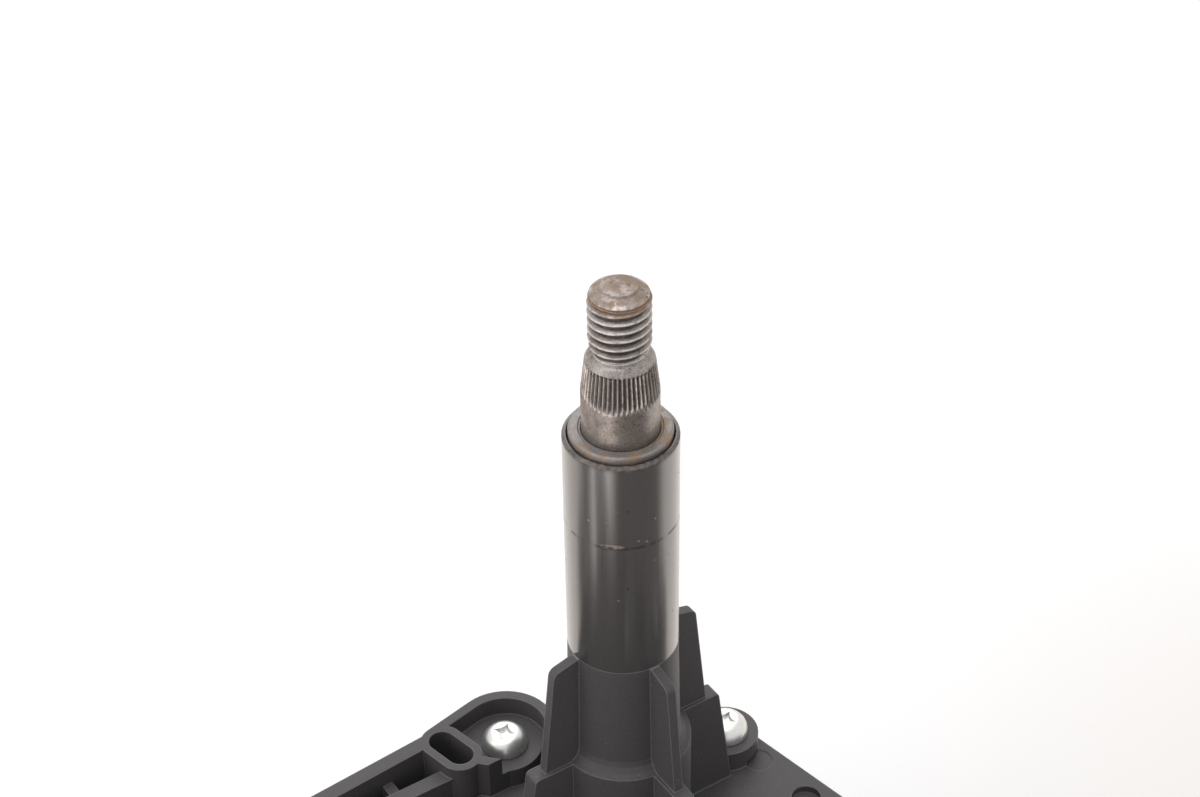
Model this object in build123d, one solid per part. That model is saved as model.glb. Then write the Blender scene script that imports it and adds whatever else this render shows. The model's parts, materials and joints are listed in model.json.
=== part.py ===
from build123d import *
import os
from math import acos, atan, cos, degrees, hypot, pi, radians, sin, sqrt, tan

os.makedirs("parts", exist_ok=True)

# Frame: millimetres, +Z up along the spindle, origin on the spindle axis in the plane the motor rests on.
# +X and +Y point along the housing's ribs. The motor can lies along -X.

# ---- heights of the gear housing
PARTING = 9.0            # rim of the bottom cover
GASKET_T = 1.0
DECK = 34.0              # flat top of the housing
DECK_T = 2.6
WALL = 2.2
FLOOR_T = 2.2            # bottom cover
FLANGE_W = 1.5           # the joint's flange stands out from the walls
FLANGE_H = 2.0
DOME_H = 2.0             # raised disc over the worm wheel
DOME_MARGIN = 0.4        # wheel to the disc's edge
DOME_RIB_T = 1.4
DOME_RIB_H = 1.2
DOME_RIBS = 8
DOME_HUB_R = 8.0
TUNNEL_R = 16.8          # half-round hump over the worm
SIDE_RIBS = (-56.0, -30.0, 18.5)
SIDE_RIB_T = 1.6
SIDE_RIB_OUT = 1.3

# ---- spindle and its boss
SHAFT_R = 5.0
THREAD_R = 4.0           # M8 end for the arm nut
THREAD_ROOT_R = 3.35
THREAD_L = 7.1
END_CHAMFER = 0.45
END_DISC_R = 2.35         # raised flat in the middle of the end
CONE_TOP_R = 4.45        # small end of the knurled cone
CONE_L = 4.7
CONE_ABOVE_BOSS = 6.9    # boss end to the foot of the knurled cone
NECK_L = 2.7             # knurled cone to thread
BOSS_H = 71.5            # above the deck
BOSS_TOP_R = 7.5
BOSS_FOOT_R = 7.8
BOSS_EDGE_R = 0.35
BUSH_WALL = 1.45
BUSH_L = 14.0
RUNNING_FIT = 0.03
BORE_RELIEF = 0.35       # boss bore between the bushes
WASHER_R = 6.7
WASHER_PROUD = 0.9
WASHER_T = 2.2
WASHER_GAP = 0.25
WASHER_BORE_GAP = 0.3
SEAL_SECTION = 1.5

# ---- ribs round the boss
LEDGE_H = 18.0           # top of the thick ribs, above the deck
FIN_H = 36.5             # top of the thin fins, above the deck
LEDGE_R = 9.3            # round foot of the boss below the ledge
FLARE_H = 1.6
FIN_T = 1.4
BLOCK_T = 2.5
FIN_TOP_R = 11.4         # outer edge of the fins, from the spindle axis
FIN_FOOT_R = 13.3
FIN_ROUND = 1.2          # round outer top corner of the fins
BLOCK_ROUND = 0.6
FIN_SLOPE = 1.0          # drop of a fin's top from the boss to its outer edge
BLOCK_TOP_R = 15.2       # outer edge of the thick ribs
BLOCK_FOOT_R = 17.7

# ---- gear train: worm, worm wheel, crank rod with a toothed sector, spindle pinion
MODULE = 1.0
PINION_TEETH = 14
SECTOR_TEETH = 28
SECTOR_CUT = 6           # teeth left on the sector
WHEEL_MODULE = 0.9
WHEEL_TEETH = 50
WORM_PITCH_R = 4.0
WORM_L = 17.0
BACKLASH = 0.16
ROD_L = 36.0
SWEEP = 120.0            # spindle sweep
SWING = SWEEP / 3        # rocker swing in that sweep
MECHANISM_TURN = -24.0   # of the rod's line from the -X axis
MOTOR_AXIS_Z = 19.5
WHEEL_T = 5.0
WHEEL_WEB_T = 3.0
WHEEL_HUB_R = 7.0
AXLE_R = 4.0
CRANK_PIN_R = 3.0
PIVOT_PIN_R = 3.0
ROD_T = 3.5
ROD_W = 9.0
ROCKER_T = 2.0
ROCKER_R = 7.0
CLIP_T = 0.9
CLIP_GROOVE = 0.6
PARK_R = 18.6
PARK_INNER_R = 10.4
PARK_T = 0.6
PLATE_T = 1.6
SLIDING_GAP = 0.3        # between parts that pass each other

# ---- motor
CAN_R = 19.5
CAN_WALL = 1.6
CAN_FACE_X = -71.0
CAN_L = 54.0
CAN_SHOULDER = 2.5       # rounded rear edge of the can
LUG_CLEAR = 0.65         # can screw head to the can's wall
CAN_LUG_R = 5.0
FLANGE_T = 3.0
FLANGE_ROOT = 0.5        # the motor's flange runs this far into the wall
BEARING_R = 5.6
BEARING_POCKET_R = 7.2
BEARING_POCKET_L = 5.5
MOTOR_SHAFT_R = 3.0
MAGNET_T = 5.0
AIR_GAP = 1.3
MAGNET_FIT = 0.05
CLIP_SPRING_GAP = 1.6    # magnet clips to the can's wall
CLIP_SPRING_W = 10.0
CLIP_SPRING_T = 0.8
MAGNET_OVERHANG = 2.0    # magnets are longer than the core at each end
CORE_CLEAR = 4.0         # rear windings to the can's end
CORE_SLOTS = 10
SLOT_LIP = 1.4           # steel outside the slots
SLOT_W = 3.0
SLOT_MOUTH = 1.2
WIRE_GAP = 0.1           # wire to the slot's walls
COMMUTATOR_R = 7.0
COMMUTATOR_L = 10.0
COMMUTATOR_BARS = 10
SHAFT_FRONT_X = -14.9
WORM_BUSH_R = 4.6
WORM_BUSH_SPAN = (-23.5, -17.5)
BEARING_BLOCK_FRONT_X = -10.5
BEARING_BLOCK_HALF = 5.0
BEARING_BLOCK_LOW = 6.0  # below the motor axis
REAR_BLOCK_L = 9.0
REAR_BLOCK_HALF = 8.0
PAD_T = 2.6
WINDING_L = 5.0
WINDING_STEP = 1.2       # end windings are this much smaller than the core
COMMUTATOR_GAP = 2.0     # windings to commutator, and commutator to the can's face
BRUSH_L = 5.0            # along the axis
BRUSH_W = 4.0
BRUSH_FIT = 0.1          # brush to its guide
SPRING_ROOM = 2.3        # left for a spring behind each brush
GUIDE_CAP = 1.0
BRUSH_INSET = 2.0        # brush from the commutator's rear end
HOLDER_T = 1.8
HOLDER_INSET = 2.6       # brush holder from the can's face
GUIDE_CLEAR = 1.7        # brush guides to the can's wall
GUIDE_WALL = 1.2
SPRING_R = 1.7
SPRING_T = 0.7
CHOKE_R = 2.2
CHOKE_L = 8.0
CHOKE_CLEAR = 3.2        # chokes to the can's wall

# ---- fasteners
SCREW_R = 1.5            # M3 self-tapping
SCREW_HEAD_R = 3.35
SCREW_HEAD_H = 2.6
SCREW_DOME = 1.7          # height of the rounded upper part of the head
SCREW_L = 16.0
SCREW_SEAT = 3.4         # screw seats above the deck
SCREW_HOLE_GAP = 0.15
SCREW_POST_R = 3.2
POST_GAP = 0.2
SCREWS = [(-7.9, 19.7), (20.2, 3.9), (27.8, -44.0), (-22.0, -44.5), (-58.5, 17.6)]
SEAT_R = 4.9             # round bosses under the screw heads
RIM_TOP = 6.6            # raised outer wall above the deck
RIM_T = 2.3
WELL_R = 6.1             # screw well inside the raised wall
WELL_WALL = 1.5
INNER_RIB_Y = 16.9       # rib beside the raised wall
INNER_RIB_T = 2.3
TIE_RIB_T = 1.6           # short cross ribs in the pocket
TIE_RIB_X = (-27.0, -38.0)
TIE_RIB_H = 3.6
PAD_R = 5.5              # round pad under the first screw
INNER_RIB_H = 4.6
OBROUND = (-16.3, 20.6)  # moulded pocket beside the well
OBROUND_W = 3.8
OBROUND_L = 7.7
OBROUND_WALL = 1.2
OBROUND_TURN = 103.0
OBROUND_DEPTH = 7.0

EJECTOR = (22.8, -1.0)   # shallow round mark in the deck
EJECTOR_R = 2.1
EJECTOR_DEPTH = 0.15
DIMPLE = (24.2, -10.8)   # deeper round recess
DIMPLE_R = 2.1
DIMPLE_DEPTH = 1.2

# ---- mounting ears
EARS = [(45.0, -36.0), (-66.0, 35.0), (-42.0, -60.0)]
EAR_R = 10.5
EAR_T = 4.0
EAR_Z = 24.0
EAR_RIM_T = 1.6          # raised border of the ears
EAR_RIM_H = 2.5
GROMMET_R = 9.0
GROMMET_WAIST_R = 6.8
GROMMET_H = 12.0
SLEEVE_R = 4.2
SLEEVE_BORE_R = 3.25     # M6 clearance
SLEEVE_H = 12.6

# ---- connector
PLUG_X = 0.0
PLUG_W = 24.0
PLUG_H = 15.0
PLUG_D = 19.0
PLUG_WALL = 1.6
PLUG_BACK = 3.0
PLUG_NECK = 1.5          # the neck in the wall is this much smaller all round
PLUG_Z = 20.5
PLUG_CORNER = 2.0
PLUG_COLLAR = 2.0        # collar on the wall: thickness, and how far it stands out sideways
PLUG_COLLAR_RISE = 1.0
PLUG_NECK_L = 4.0
LATCH_W = 6.0
LATCH_L = 4.0
LATCH_H = 1.4
KEY_X = 6.0              # guide keys, each side of the middle
KEY_W = 1.6
KEY_H = 1.0
PIN_COUNT = 4
PIN_PITCH = 4.6
PIN_W = 2.3
PIN_T = 0.8
PIN_INSET = 4.0          # pin tips behind the socket's mouth
PIN_TAIL = 7.0           # pins inside the housing

# ---- contacts under the worm wheel
PLATE_SPAN = (-32.0, 12.0)
PLATE_INSET = 4.0        # plate to the outer face of the connector's wall
PLATE_W = 15.5
TONGUE_SPAN = (-26.0, -15.5)
TONGUE_L = 26.5
FINGER_FOOT_X = -18.0
FINGER_TIP_X = -33.0
FINGER_W = 1.8
FINGER_YS = (-9.0, -13.5, -18.0)

# ---- derived places
MESH_R = MODULE * (PINION_TEETH + SECTOR_TEETH) / 2
WHEEL_R = WHEEL_MODULE * WHEEL_TEETH / 2
CRANK_R = MESH_R * sin(radians(SWING / 2))
MID_ANGLE = -90 + MECHANISM_TURN
ROD_ANGLE = 180 + MECHANISM_TURN


def polar(radius, angle):
    return Vector(radius * cos(radians(angle)), radius * sin(radians(angle)))


PIVOT = polar(MESH_R, MID_ANGLE - SWING / 2)
CRANK = PIVOT + polar(ROD_L, ROD_ANGLE)
WHEEL = polar(MESH_R * cos(radians(SWING / 2)), MID_ANGLE) + polar(ROD_L, ROD_ANGLE)
MOTOR_Y = WHEEL.Y - WHEEL_R - WORM_PITCH_R
CAN_REAR_X = CAN_FACE_X - CAN_L
CAN_LUG_Y = CAN_R + SCREW_HEAD_R + LUG_CLEAR   # can screws, each side of the motor axis
CORE_R = CAN_R - CAN_WALL - MAGNET_T - AIR_GAP
CORE_X = CAN_REAR_X + CORE_CLEAR + WINDING_L
COMMUTATOR_X = CAN_FACE_X - COMMUTATOR_GAP - COMMUTATOR_L
CORE_L = COMMUTATOR_X - COMMUTATOR_GAP - WINDING_L - CORE_X
BRUSH_X = COMMUTATOR_X + BRUSH_INSET
HOLDER_X = CAN_FACE_X - HOLDER_INSET
GUIDE_TOP = CAN_R - CAN_WALL - GUIDE_CLEAR
BRUSH_H = GUIDE_TOP - GUIDE_CAP - SPRING_ROOM - COMMUTATOR_R - SLIDING_GAP
SLOT_DEPTH = (CORE_R - SLOT_LIP - MOTOR_SHAFT_R) / 2   # as deep as the steel left under it
SLOT_MIDDLE = CORE_R - SLOT_LIP - SLOT_DEPTH / 2
WHEEL_TOP = MOTOR_AXIS_Z + WHEEL_T / 2
ROD_Z = WHEEL_TOP + 2 * SLIDING_GAP
ROCKER_Z = ROD_Z + ROD_T + SLIDING_GAP
CEILING = DECK - DECK_T
ROOT = DECK - DECK_T / 2   # what stands on the deck starts in the middle of its thickness
BOSS_TOP = DECK + BOSS_H
CONE_Z = BOSS_TOP + CONE_ABOVE_BOSS
THREAD_Z = CONE_Z + CONE_L + NECK_L
SPINDLE_TOP = THREAD_Z + THREAD_L
BUSH_R = SHAFT_R + BUSH_WALL
BOSS_COUNTERBORE = BOSS_TOP + WASHER_PROUD - WASHER_T - SEAL_SECTION
PINION_Z = ROD_Z - SLIDING_GAP
CLIP_Z = PINION_Z - CLIP_T
SPINDLE_FOOT = CLIP_Z - 1.2
HUB_Z = MOTOR_AXIS_Z - 7.0
WALL_X = CAN_FACE_X + FLANGE_T

SIDE_Y = -50.0           # outer face of the wall that carries the connector

# rounded corners of the housing's outline: x, y, radius
CORNERS = [
    (SCREWS[0][0], SCREWS[0][1], 6.0),
    (SCREWS[1][0], SCREWS[1][1], SEAT_R),
    (27.0, SIDE_Y + 7.0, 7.0),
    (WALL_X + 6.0, SIDE_Y + 6.0, 6.0),
    (WALL_X + 7.0, 14.7, 7.0),
]

UP = (Align.CENTER, Align.CENTER, Align.MIN)


def post(x, y, z, radius, height):
    return Pos(x, y, z) * Cylinder(radius, height, align=UP)


def ring(x, y, z, outer, inner, height):
    return post(x, y, z, outer, height) - post(x, y, z, inner, height)


def bar_x(x0, x1, radius):
    """A cylinder on the motor axis."""
    return Pos(x0, MOTOR_Y, MOTOR_AXIS_Z) * Rot(0, 90, 0) * Cylinder(radius, x1 - x0, align=UP)


def tube_x(x0, x1, outer, inner):
    return bar_x(x0, x1, outer) - bar_x(x0, x1, inner)


def block(x0, x1, y0, y1, z0, z1):
    return Pos((x0 + x1) / 2, (y0 + y1) / 2, (z0 + z1) / 2) * Box(x1 - x0, y1 - y0, z1 - z0)


def hull(circles):
    """The rubber-band outline round circles given as x, y, radius."""
    edges = [(Pos(x, y) * Circle(r)).edges()[0] for x, y, r in circles]
    return make_hull(edges)


def prism(sketch, z0, z1):
    return extrude(Pos(0, 0, z0) * sketch, z1 - z0)


def outline(inset=0.0):
    return hull([(x, y, r - inset) for x, y, r in CORNERS])


def lathe(points):
    """Revolves an r, z outline about the Z axis."""
    profile = make_face(Polyline(*[(r, 0, z) for r, z in points], close=True))
    return revolve(profile, Axis.Z)


def join(shapes):
    body = shapes[0]
    for shape in shapes[1:]:
        body = body + shape
    return body


def gear_sketch(teeth, module, first=0, count=None, flank_points=4):
    """Involute teeth; tooth number n stands at n pitches from the +X axis."""
    pitch_r = teeth * module / 2
    base_r = pitch_r * cos(radians(20))
    top_r = pitch_r + 0.9 * module
    root_r = pitch_r - 1.15 * module
    half_tooth = degrees(pi / (2 * teeth)) - degrees(BACKLASH / 2 / pitch_r)
    start_r = max(base_r, root_r + 0.05)

    def spread(radius):
        return degrees(sqrt(max((radius / base_r) ** 2 - 1, 0)) - acos(min(base_r / radius, 1)))

    points = []
    for number in range(first, first + (count or teeth)):
        centre = number * 360 / teeth
        radii = [start_r + (top_r - start_r) * i / (flank_points - 1) for i in range(flank_points)]
        flank = [(r, half_tooth + spread(pitch_r) - spread(r)) for r in radii]
        points += [polar(root_r, centre - flank[0][1])]
        points += [polar(r, centre - a) for r, a in flank]
        points += [polar(r, centre + a) for r, a in reversed(flank)]
        points += [polar(root_r, centre + flank[0][1])]
    return points, root_r, top_r


# ---------------------------------------------------------------- housing

def boss():
    """The tall spindle boss with its flared foot."""
    ledge = DECK + LEDGE_H
    return lathe([
        (0, ROOT),
        (LEDGE_R, ROOT),
        (LEDGE_R, ledge),
        (BOSS_FOOT_R + 0.5 * (LEDGE_R - BOSS_FOOT_R), ledge + 0.3 * FLARE_H),
        (BOSS_FOOT_R + 0.15 * (LEDGE_R - BOSS_FOOT_R), ledge + 0.75 * FLARE_H),
        (BOSS_FOOT_R, ledge + 1.3 * FLARE_H),
        (BOSS_TOP_R, DECK + FIN_H),
        (BOSS_TOP_R, BOSS_TOP - BOSS_EDGE_R),
        (BOSS_TOP_R - BOSS_EDGE_R, BOSS_TOP),
        (0, BOSS_TOP),
    ])


def rib(angle, thickness, points):
    """An upright rib in the plane of the boss axis, drawn as r, z."""
    web = make_face(Polyline(*[(r, 0, z) for r, z in points], close=True))
    return Rot(0, 0, angle) * extrude(web, thickness / 2, dir=(0, 1, 0), both=True)


def rounded(points, index, radius, steps=3):
    """The outline with one of its corners turned into a short arc."""
    corner = Vector(*points[index])
    before = (Vector(*points[index - 1]) - corner).normalized()
    after = (Vector(*points[index + 1]) - corner).normalized()
    half = acos(before.dot(after)) / 2
    centre = corner + (before + after).normalized() * (radius / sin(half))
    start = corner + before * (radius / tan(half)) - centre
    end = corner + after * (radius / tan(half)) - centre
    arc = []
    for step in range(steps + 1):
        share = step / steps
        point = centre + (start * (1 - share) + end * share).normalized() * radius
        arc.append((point.X, point.Y))
    return points[:index] + arc + points[index + 1:]


def boss_ribs():
    ledge = DECK + LEDGE_H
    top = DECK + FIN_H
    fin = [(3, ROOT), (FIN_FOOT_R, ROOT), (FIN_FOOT_R, ledge), (FIN_TOP_R, top - FIN_SLOPE), (BOSS_TOP_R, top), (3, top)]
    thick = [(3, ROOT), (BLOCK_FOOT_R, ROOT), (BLOCK_FOOT_R, DECK), (BLOCK_TOP_R, ledge), (3, ledge)]
    fin = rounded(fin, 3, FIN_ROUND)
    thick = rounded(thick, 3, BLOCK_ROUND)
    shapes = []
    for angle in range(0, 360, 90):
        shapes.append(rib(angle, FIN_T, fin))
        shapes.append(rib(angle, BLOCK_T, thick))
    return shapes


def boss_bore():
    """Bushes at both ends, a relieved bore between, and a counterbore for the seal and cap washer."""
    return join([
        post(0, 0, CEILING - 1, BUSH_R, BUSH_L + 1),
        post(0, 0, CEILING, SHAFT_R + BORE_RELIEF, BOSS_TOP - CEILING),
        post(0, 0, BOSS_COUNTERBORE - BUSH_L, BUSH_R, BUSH_L),
        post(0, 0, BOSS_COUNTERBORE, WASHER_R + WASHER_GAP, BOSS_TOP - BOSS_COUNTERBORE + 1),
    ])


def obround(extra=0.0):
    x, y = OBROUND
    return Pos(x, y) * Rot(0, 0, OBROUND_TURN) * SlotOverall(OBROUND_L + 2 * extra, OBROUND_W + 2 * extra)


def obround_end():
    """Centre of the pocket's outer round end."""
    return Vector(*OBROUND) + polar((OBROUND_L - OBROUND_W) / 2, OBROUND_TURN)


def raised_wall():
    """The high outer wall on the +Y side, with the well of the first cover screw and an inner rib."""
    x0, y0 = SCREWS[0]
    end = obround_end()
    far_x = SCREWS[4][0] + 9.0
    collar = obround(OBROUND_WALL)
    head = hull([(x0, y0, WELL_R + WELL_WALL), (end.X, end.Y, OBROUND_W / 2 + OBROUND_WALL)])
    hollow = hull([(x0, y0, WELL_R), (end.X, end.Y, OBROUND_W / 2 + OBROUND_WALL - WELL_WALL)])
    open_front = Pos(x0 + 10, y0 - 3 - 10) * Rectangle(20, 20) + Pos(x0, y0 - 5 - 10) * Rectangle(2 * WELL_R, 20)
    band = (outline() - outline(RIM_T)) & (Pos((far_x + x0) / 2, y0 + 6) * Rectangle(x0 - far_x, 24))
    top = DECK + RIM_TOP
    seat = DECK + SCREW_SEAT
    wall = prism(band, ROOT, top) + (prism(head - open_front, ROOT, top) + prism(collar, ROOT, top))
    wall = wall - prism(hollow - collar, seat, top + 1)
    inner = block(far_x, OBROUND[0], INNER_RIB_Y, INNER_RIB_Y + INNER_RIB_T, ROOT, DECK + INNER_RIB_H)
    middle = INNER_RIB_Y + INNER_RIB_T / 2
    ties = [block(x, x + TIE_RIB_T, middle, y0 + 3.0, ROOT, DECK + TIE_RIB_H) for x in TIE_RIB_X]
    return join([wall, post(x0, y0, ROOT, PAD_R, seat - ROOT), inner] + ties)


def bearing_blocks():
    """Carriers of the worm's two bearings, hung from the deck, and the thrust pad's wall."""
    low = MOTOR_AXIS_Z - BEARING_BLOCK_LOW
    front = block(WORM_BUSH_SPAN[0], BEARING_BLOCK_FRONT_X, MOTOR_Y - BEARING_BLOCK_HALF,
                  MOTOR_Y + BEARING_BLOCK_HALF, low, ROOT)
    rear = block(WALL_X + WALL / 2, WALL_X + REAR_BLOCK_L, MOTOR_Y - REAR_BLOCK_HALF,
                 MOTOR_Y + REAR_BLOCK_HALF, PARTING + GASKET_T, ROOT)
    return [front, rear]


def motor_flange():
    """The round face that the motor can is screwed to."""
    circles = [(0, 0, CAN_R), (CAN_LUG_Y, 0, CAN_LUG_R), (-CAN_LUG_Y, 0, CAN_LUG_R)]
    face = Plane(origin=(CAN_FACE_X, MOTOR_Y, MOTOR_AXIS_Z), x_dir=(0, 1, 0), z_dir=(1, 0, 0))
    slab = extrude(face * hull(circles), FLANGE_T + FLANGE_ROOT)
    return slab - block(WALL_X, WALL_X + 2 * FLANGE_ROOT, -BOSS_H, BOSS_H, -BOSS_H, PARTING + GASKET_T)


def deck_relief():
    """Raised disc over the worm wheel, its radial ribs and the hump over the worm."""
    top = DECK + DOME_H
    edge = WHEEL_R + DOME_MARGIN
    disc = lathe([(0, ROOT), (edge, ROOT), (edge, top - 0.6), (edge - 0.6, top), (0, top)])
    hub = post(0, 0, top - 0.5, DOME_HUB_R, DOME_RIB_H + 0.5) - post(0, 0, top + 0.1, DOME_HUB_R - DOME_RIB_T, 5)
    ribs = [
        Rot(0, 0, i * 360 / DOME_RIBS) * block(DOME_HUB_R - DOME_RIB_T / 2, edge - 1.5, -DOME_RIB_T / 2, DOME_RIB_T / 2,
                                                top - 0.5, top + DOME_RIB_H)
        for i in range(DOME_RIBS)]
    disc = Pos(WHEEL.X, WHEEL.Y) * join([disc, hub] + ribs)
    above = block(WALL_X, BEARING_BLOCK_FRONT_X, MOTOR_Y - TUNNEL_R, MOTOR_Y + TUNNEL_R, ROOT, DECK + 20)
    return [disc, bar_x(WALL_X + 1, BEARING_BLOCK_FRONT_X + 1, TUNNEL_R) & above]


def side_ribs():
    """Upright ribs on the wall beside the connector."""
    low = PARTING + GASKET_T
    return [block(x, x + SIDE_RIB_T, SIDE_Y - SIDE_RIB_OUT, SIDE_Y + WALL / 2, low, DECK - 1) for x in SIDE_RIBS]


def ears():
    shapes = []
    for x, y in EARS:
        reach = min(CORNERS, key=lambda c: hypot(c[0] - x, c[1] - y))
        plate = prism(hull([(x, y, EAR_R), reach]), EAR_Z, EAR_Z + EAR_T)
        inner = hull([(x, y, EAR_R - EAR_RIM_T), (reach[0], reach[1], reach[2] - EAR_RIM_T)])
        border = hull([(x, y, EAR_R), reach]) - inner
        plate = plate + prism(border, EAR_Z + EAR_T / 2, EAR_Z + EAR_T + EAR_RIM_H)
        shapes.append(plate - prism(outline(WALL / 2), EAR_Z, EAR_Z + EAR_T + EAR_RIM_H))
    return shapes


def housing_cuts():
    top = DECK + RIM_TOP
    cuts = [boss_bore(), prism(obround(), top - OBROUND_DEPTH, top + 1)]
    for x, y in SCREWS:
        cuts.append(post(x, y, 0, SCREW_R + SCREW_HOLE_GAP, DECK + 10))
        cuts.append(post(x, y, 0, SCREW_POST_R + POST_GAP, CEILING))
    for x, y in EARS:
        cuts.append(post(x, y, EAR_Z - 1, GROMMET_WAIST_R, EAR_T + 2))
        cuts.append(post(x, y, EAR_Z + EAR_T, GROMMET_R + SLIDING_GAP, 30))
        cuts.append(post(x, y, 0, GROMMET_R + SLIDING_GAP, EAR_Z))
    cuts.append(post(*EJECTOR, DECK - EJECTOR_DEPTH, EJECTOR_R, 1))
    cuts.append(post(*DIMPLE, DECK - DIMPLE_DEPTH, DIMPLE_R, 2))
    cuts.append(bar_x(CAN_FACE_X - 1, WALL_X + 8.0, BEARING_R))
    cuts.append(bar_x(CAN_FACE_X - 1, WALL_X + 10.0, MOTOR_SHAFT_R + 1))
    cuts.append(bar_x(WORM_BUSH_SPAN[0] - 1, BEARING_BLOCK_FRONT_X - 1.5, WORM_BUSH_R))
    for side in (-1, 1):
        hole = Pos(CAN_FACE_X - 1, MOTOR_Y + side * CAN_LUG_Y, MOTOR_AXIS_Z) * Rot(0, 90, 0)
        cuts.append(hole * Cylinder(SCREW_R + SCREW_HOLE_GAP, 12, align=UP))
    half_w = PLUG_W / 2 - PLUG_NECK
    half_h = PLUG_H / 2 - PLUG_NECK
    cuts.append(block(PLUG_X - half_w, PLUG_X + half_w, SIDE_Y - 1, SIDE_Y + 6, PLUG_Z - half_h, PLUG_Z + half_h))
    return cuts


def gear_housing():
    rim = PARTING + GASKET_T
    seat_h = DECK + SCREW_SEAT - ROOT
    seats = [post(x, y, ROOT, SEAT_R, seat_h) for x, y in SCREWS[1:]]
    shell = prism(outline(), rim, DECK) - prism(outline(WALL), rim, CEILING)
    posts = bearing_blocks() + seats
    flange = prism(outline(-FLANGE_W), rim, rim + FLANGE_H) - prism(outline(WALL / 2), rim, rim + FLANGE_H)
    walls = [shell, flange, motor_flange(), boss(), raised_wall()] + deck_relief() + side_ribs()
    body = join(walls + boss_ribs() + posts + ears())
    for cut in housing_cuts():
        body = body - cut
    return body


# ---------------------------------------------------------------- cover and fasteners

def bottom_cover():
    tray = prism(outline(), 0, PARTING) + prism(outline(-FLANGE_W), PARTING - FLANGE_H, PARTING)
    beside_motor = block(WALL_X - 2 * FLANGE_W, WALL_X, SIDE_Y - FLANGE_W, -SIDE_Y, 0, PARTING)
    tray = tray - [prism(outline(WALL), FLOOR_T, PARTING), beside_motor]
    posts = [post(x, y, 0, SCREW_POST_R, CEILING - SLIDING_GAP) for x, y in SCREWS]
    axle_seat = post(WHEEL.X, WHEEL.Y, 0, WHEEL_HUB_R, HUB_Z - SLIDING_GAP)
    spindle_rest = post(0, 0, 0, SHAFT_R + 1, SPINDLE_FOOT - SLIDING_GAP)
    ribs = [block(x, x + 1.4, -28, 14, 0, FLOOR_T + 1.2) for x in (-54.0, -12.0)]
    body = tray + posts + [axle_seat, spindle_rest] + ribs
    holes = [post(x, y, FLOOR_T, SCREW_R + SCREW_HOLE_GAP, CEILING) for x, y in SCREWS]
    return body - (holes + [post(WHEEL.X, WHEEL.Y, FLOOR_T, AXLE_R, 30)])


def cover_gasket():
    inner = prism(outline(WALL - 0.4), PARTING, PARTING + GASKET_T)
    posts = [post(x, y, 0, SCREW_POST_R + POST_GAP, DECK) for x, y in SCREWS]
    return prism(outline(0.4), PARTING, PARTING + GASKET_T) - ([inner] + posts)


def screw_head():
    """Section of a pan head with its seat at z 0."""
    r = SCREW_HEAD_R
    foot = SCREW_HEAD_H - SCREW_DOME
    return [(r - 0.1, 0), (r, 0.1), (r, foot), (0.93 * r, foot + 0.4 * SCREW_DOME), (0.78 * r, foot + 0.72 * SCREW_DOME),
            (0.5 * r, foot + 0.95 * SCREW_DOME), (0, SCREW_HEAD_H)]


def screw(length):
    """One screw with its seat at z 0, pointing down."""
    body = lathe([(0, -length), (SCREW_R, -length), (SCREW_R, 0)] + screw_head())
    cross = [Pos(0, 0, SCREW_HEAD_H - 0.6) * Rot(0, 0, a) * Box(3.2, 0.7, 1.2) for a in (0, 90)]
    return body - cross


def cover_screws():
    one = screw(SCREW_L)
    return Compound(children=[Pos(x, y, DECK + SCREW_SEAT) * one for x, y in SCREWS])


# ---------------------------------------------------------------- spindle

def spindle():
    blank = [
        (0, SPINDLE_FOOT),
        (SHAFT_R - 0.5, SPINDLE_FOOT),
        (SHAFT_R, SPINDLE_FOOT + 0.5),
        (SHAFT_R, CLIP_Z),
        (SHAFT_R - CLIP_GROOVE, CLIP_Z),
        (SHAFT_R - CLIP_GROOVE, CLIP_Z + CLIP_T),
        (SHAFT_R, CLIP_Z + CLIP_T),
        (SHAFT_R, CONE_Z),
        (CONE_TOP_R, CONE_Z + CONE_L),
        (THREAD_ROOT_R, CONE_Z + CONE_L + 1.2),
        (THREAD_ROOT_R, THREAD_Z),
        (THREAD_R, THREAD_Z + 0.6),
        (THREAD_R, SPINDLE_TOP - 2 * END_CHAMFER),
        (THREAD_R - END_CHAMFER / 2, SPINDLE_TOP - END_CHAMFER),
        (END_DISC_R + 0.2, SPINDLE_TOP - 0.2),
        (END_DISC_R, SPINDLE_TOP),
        (0, SPINDLE_TOP),
    ]
    return lathe(blank)


def flanged_bush(z0, z1, flange_r, flange_t):
    inner = SHAFT_R + RUNNING_FIT
    return ring(0, 0, z0, BUSH_R, inner, z1 - z0) + ring(0, 0, z0 - flange_t, flange_r, inner, flange_t)


def upper_bush():
    return ring(0, 0, BOSS_COUNTERBORE - BUSH_L, BUSH_R, SHAFT_R + RUNNING_FIT, BUSH_L)


def lower_bush():
    thrust = CEILING - ROCKER_Z - ROCKER_T - SLIDING_GAP
    return flanged_bush(CEILING, CEILING + BUSH_L, SHAFT_R + 3, thrust)


def spindle_seal():
    """Square-section ring with bevelled corners, under the cap washer."""
    inner = SHAFT_R + 0.1
    outer = inner + SEAL_SECTION - 0.04
    low = BOSS_COUNTERBORE + 0.02
    high = low + SEAL_SECTION - 0.04
    bevel = 0.3
    return lathe([(inner, low + bevel), (inner + bevel, low), (outer - bevel, low), (outer, low + bevel),
                  (outer, high - bevel), (outer - bevel, high), (inner + bevel, high), (inner, high - bevel)])


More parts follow.
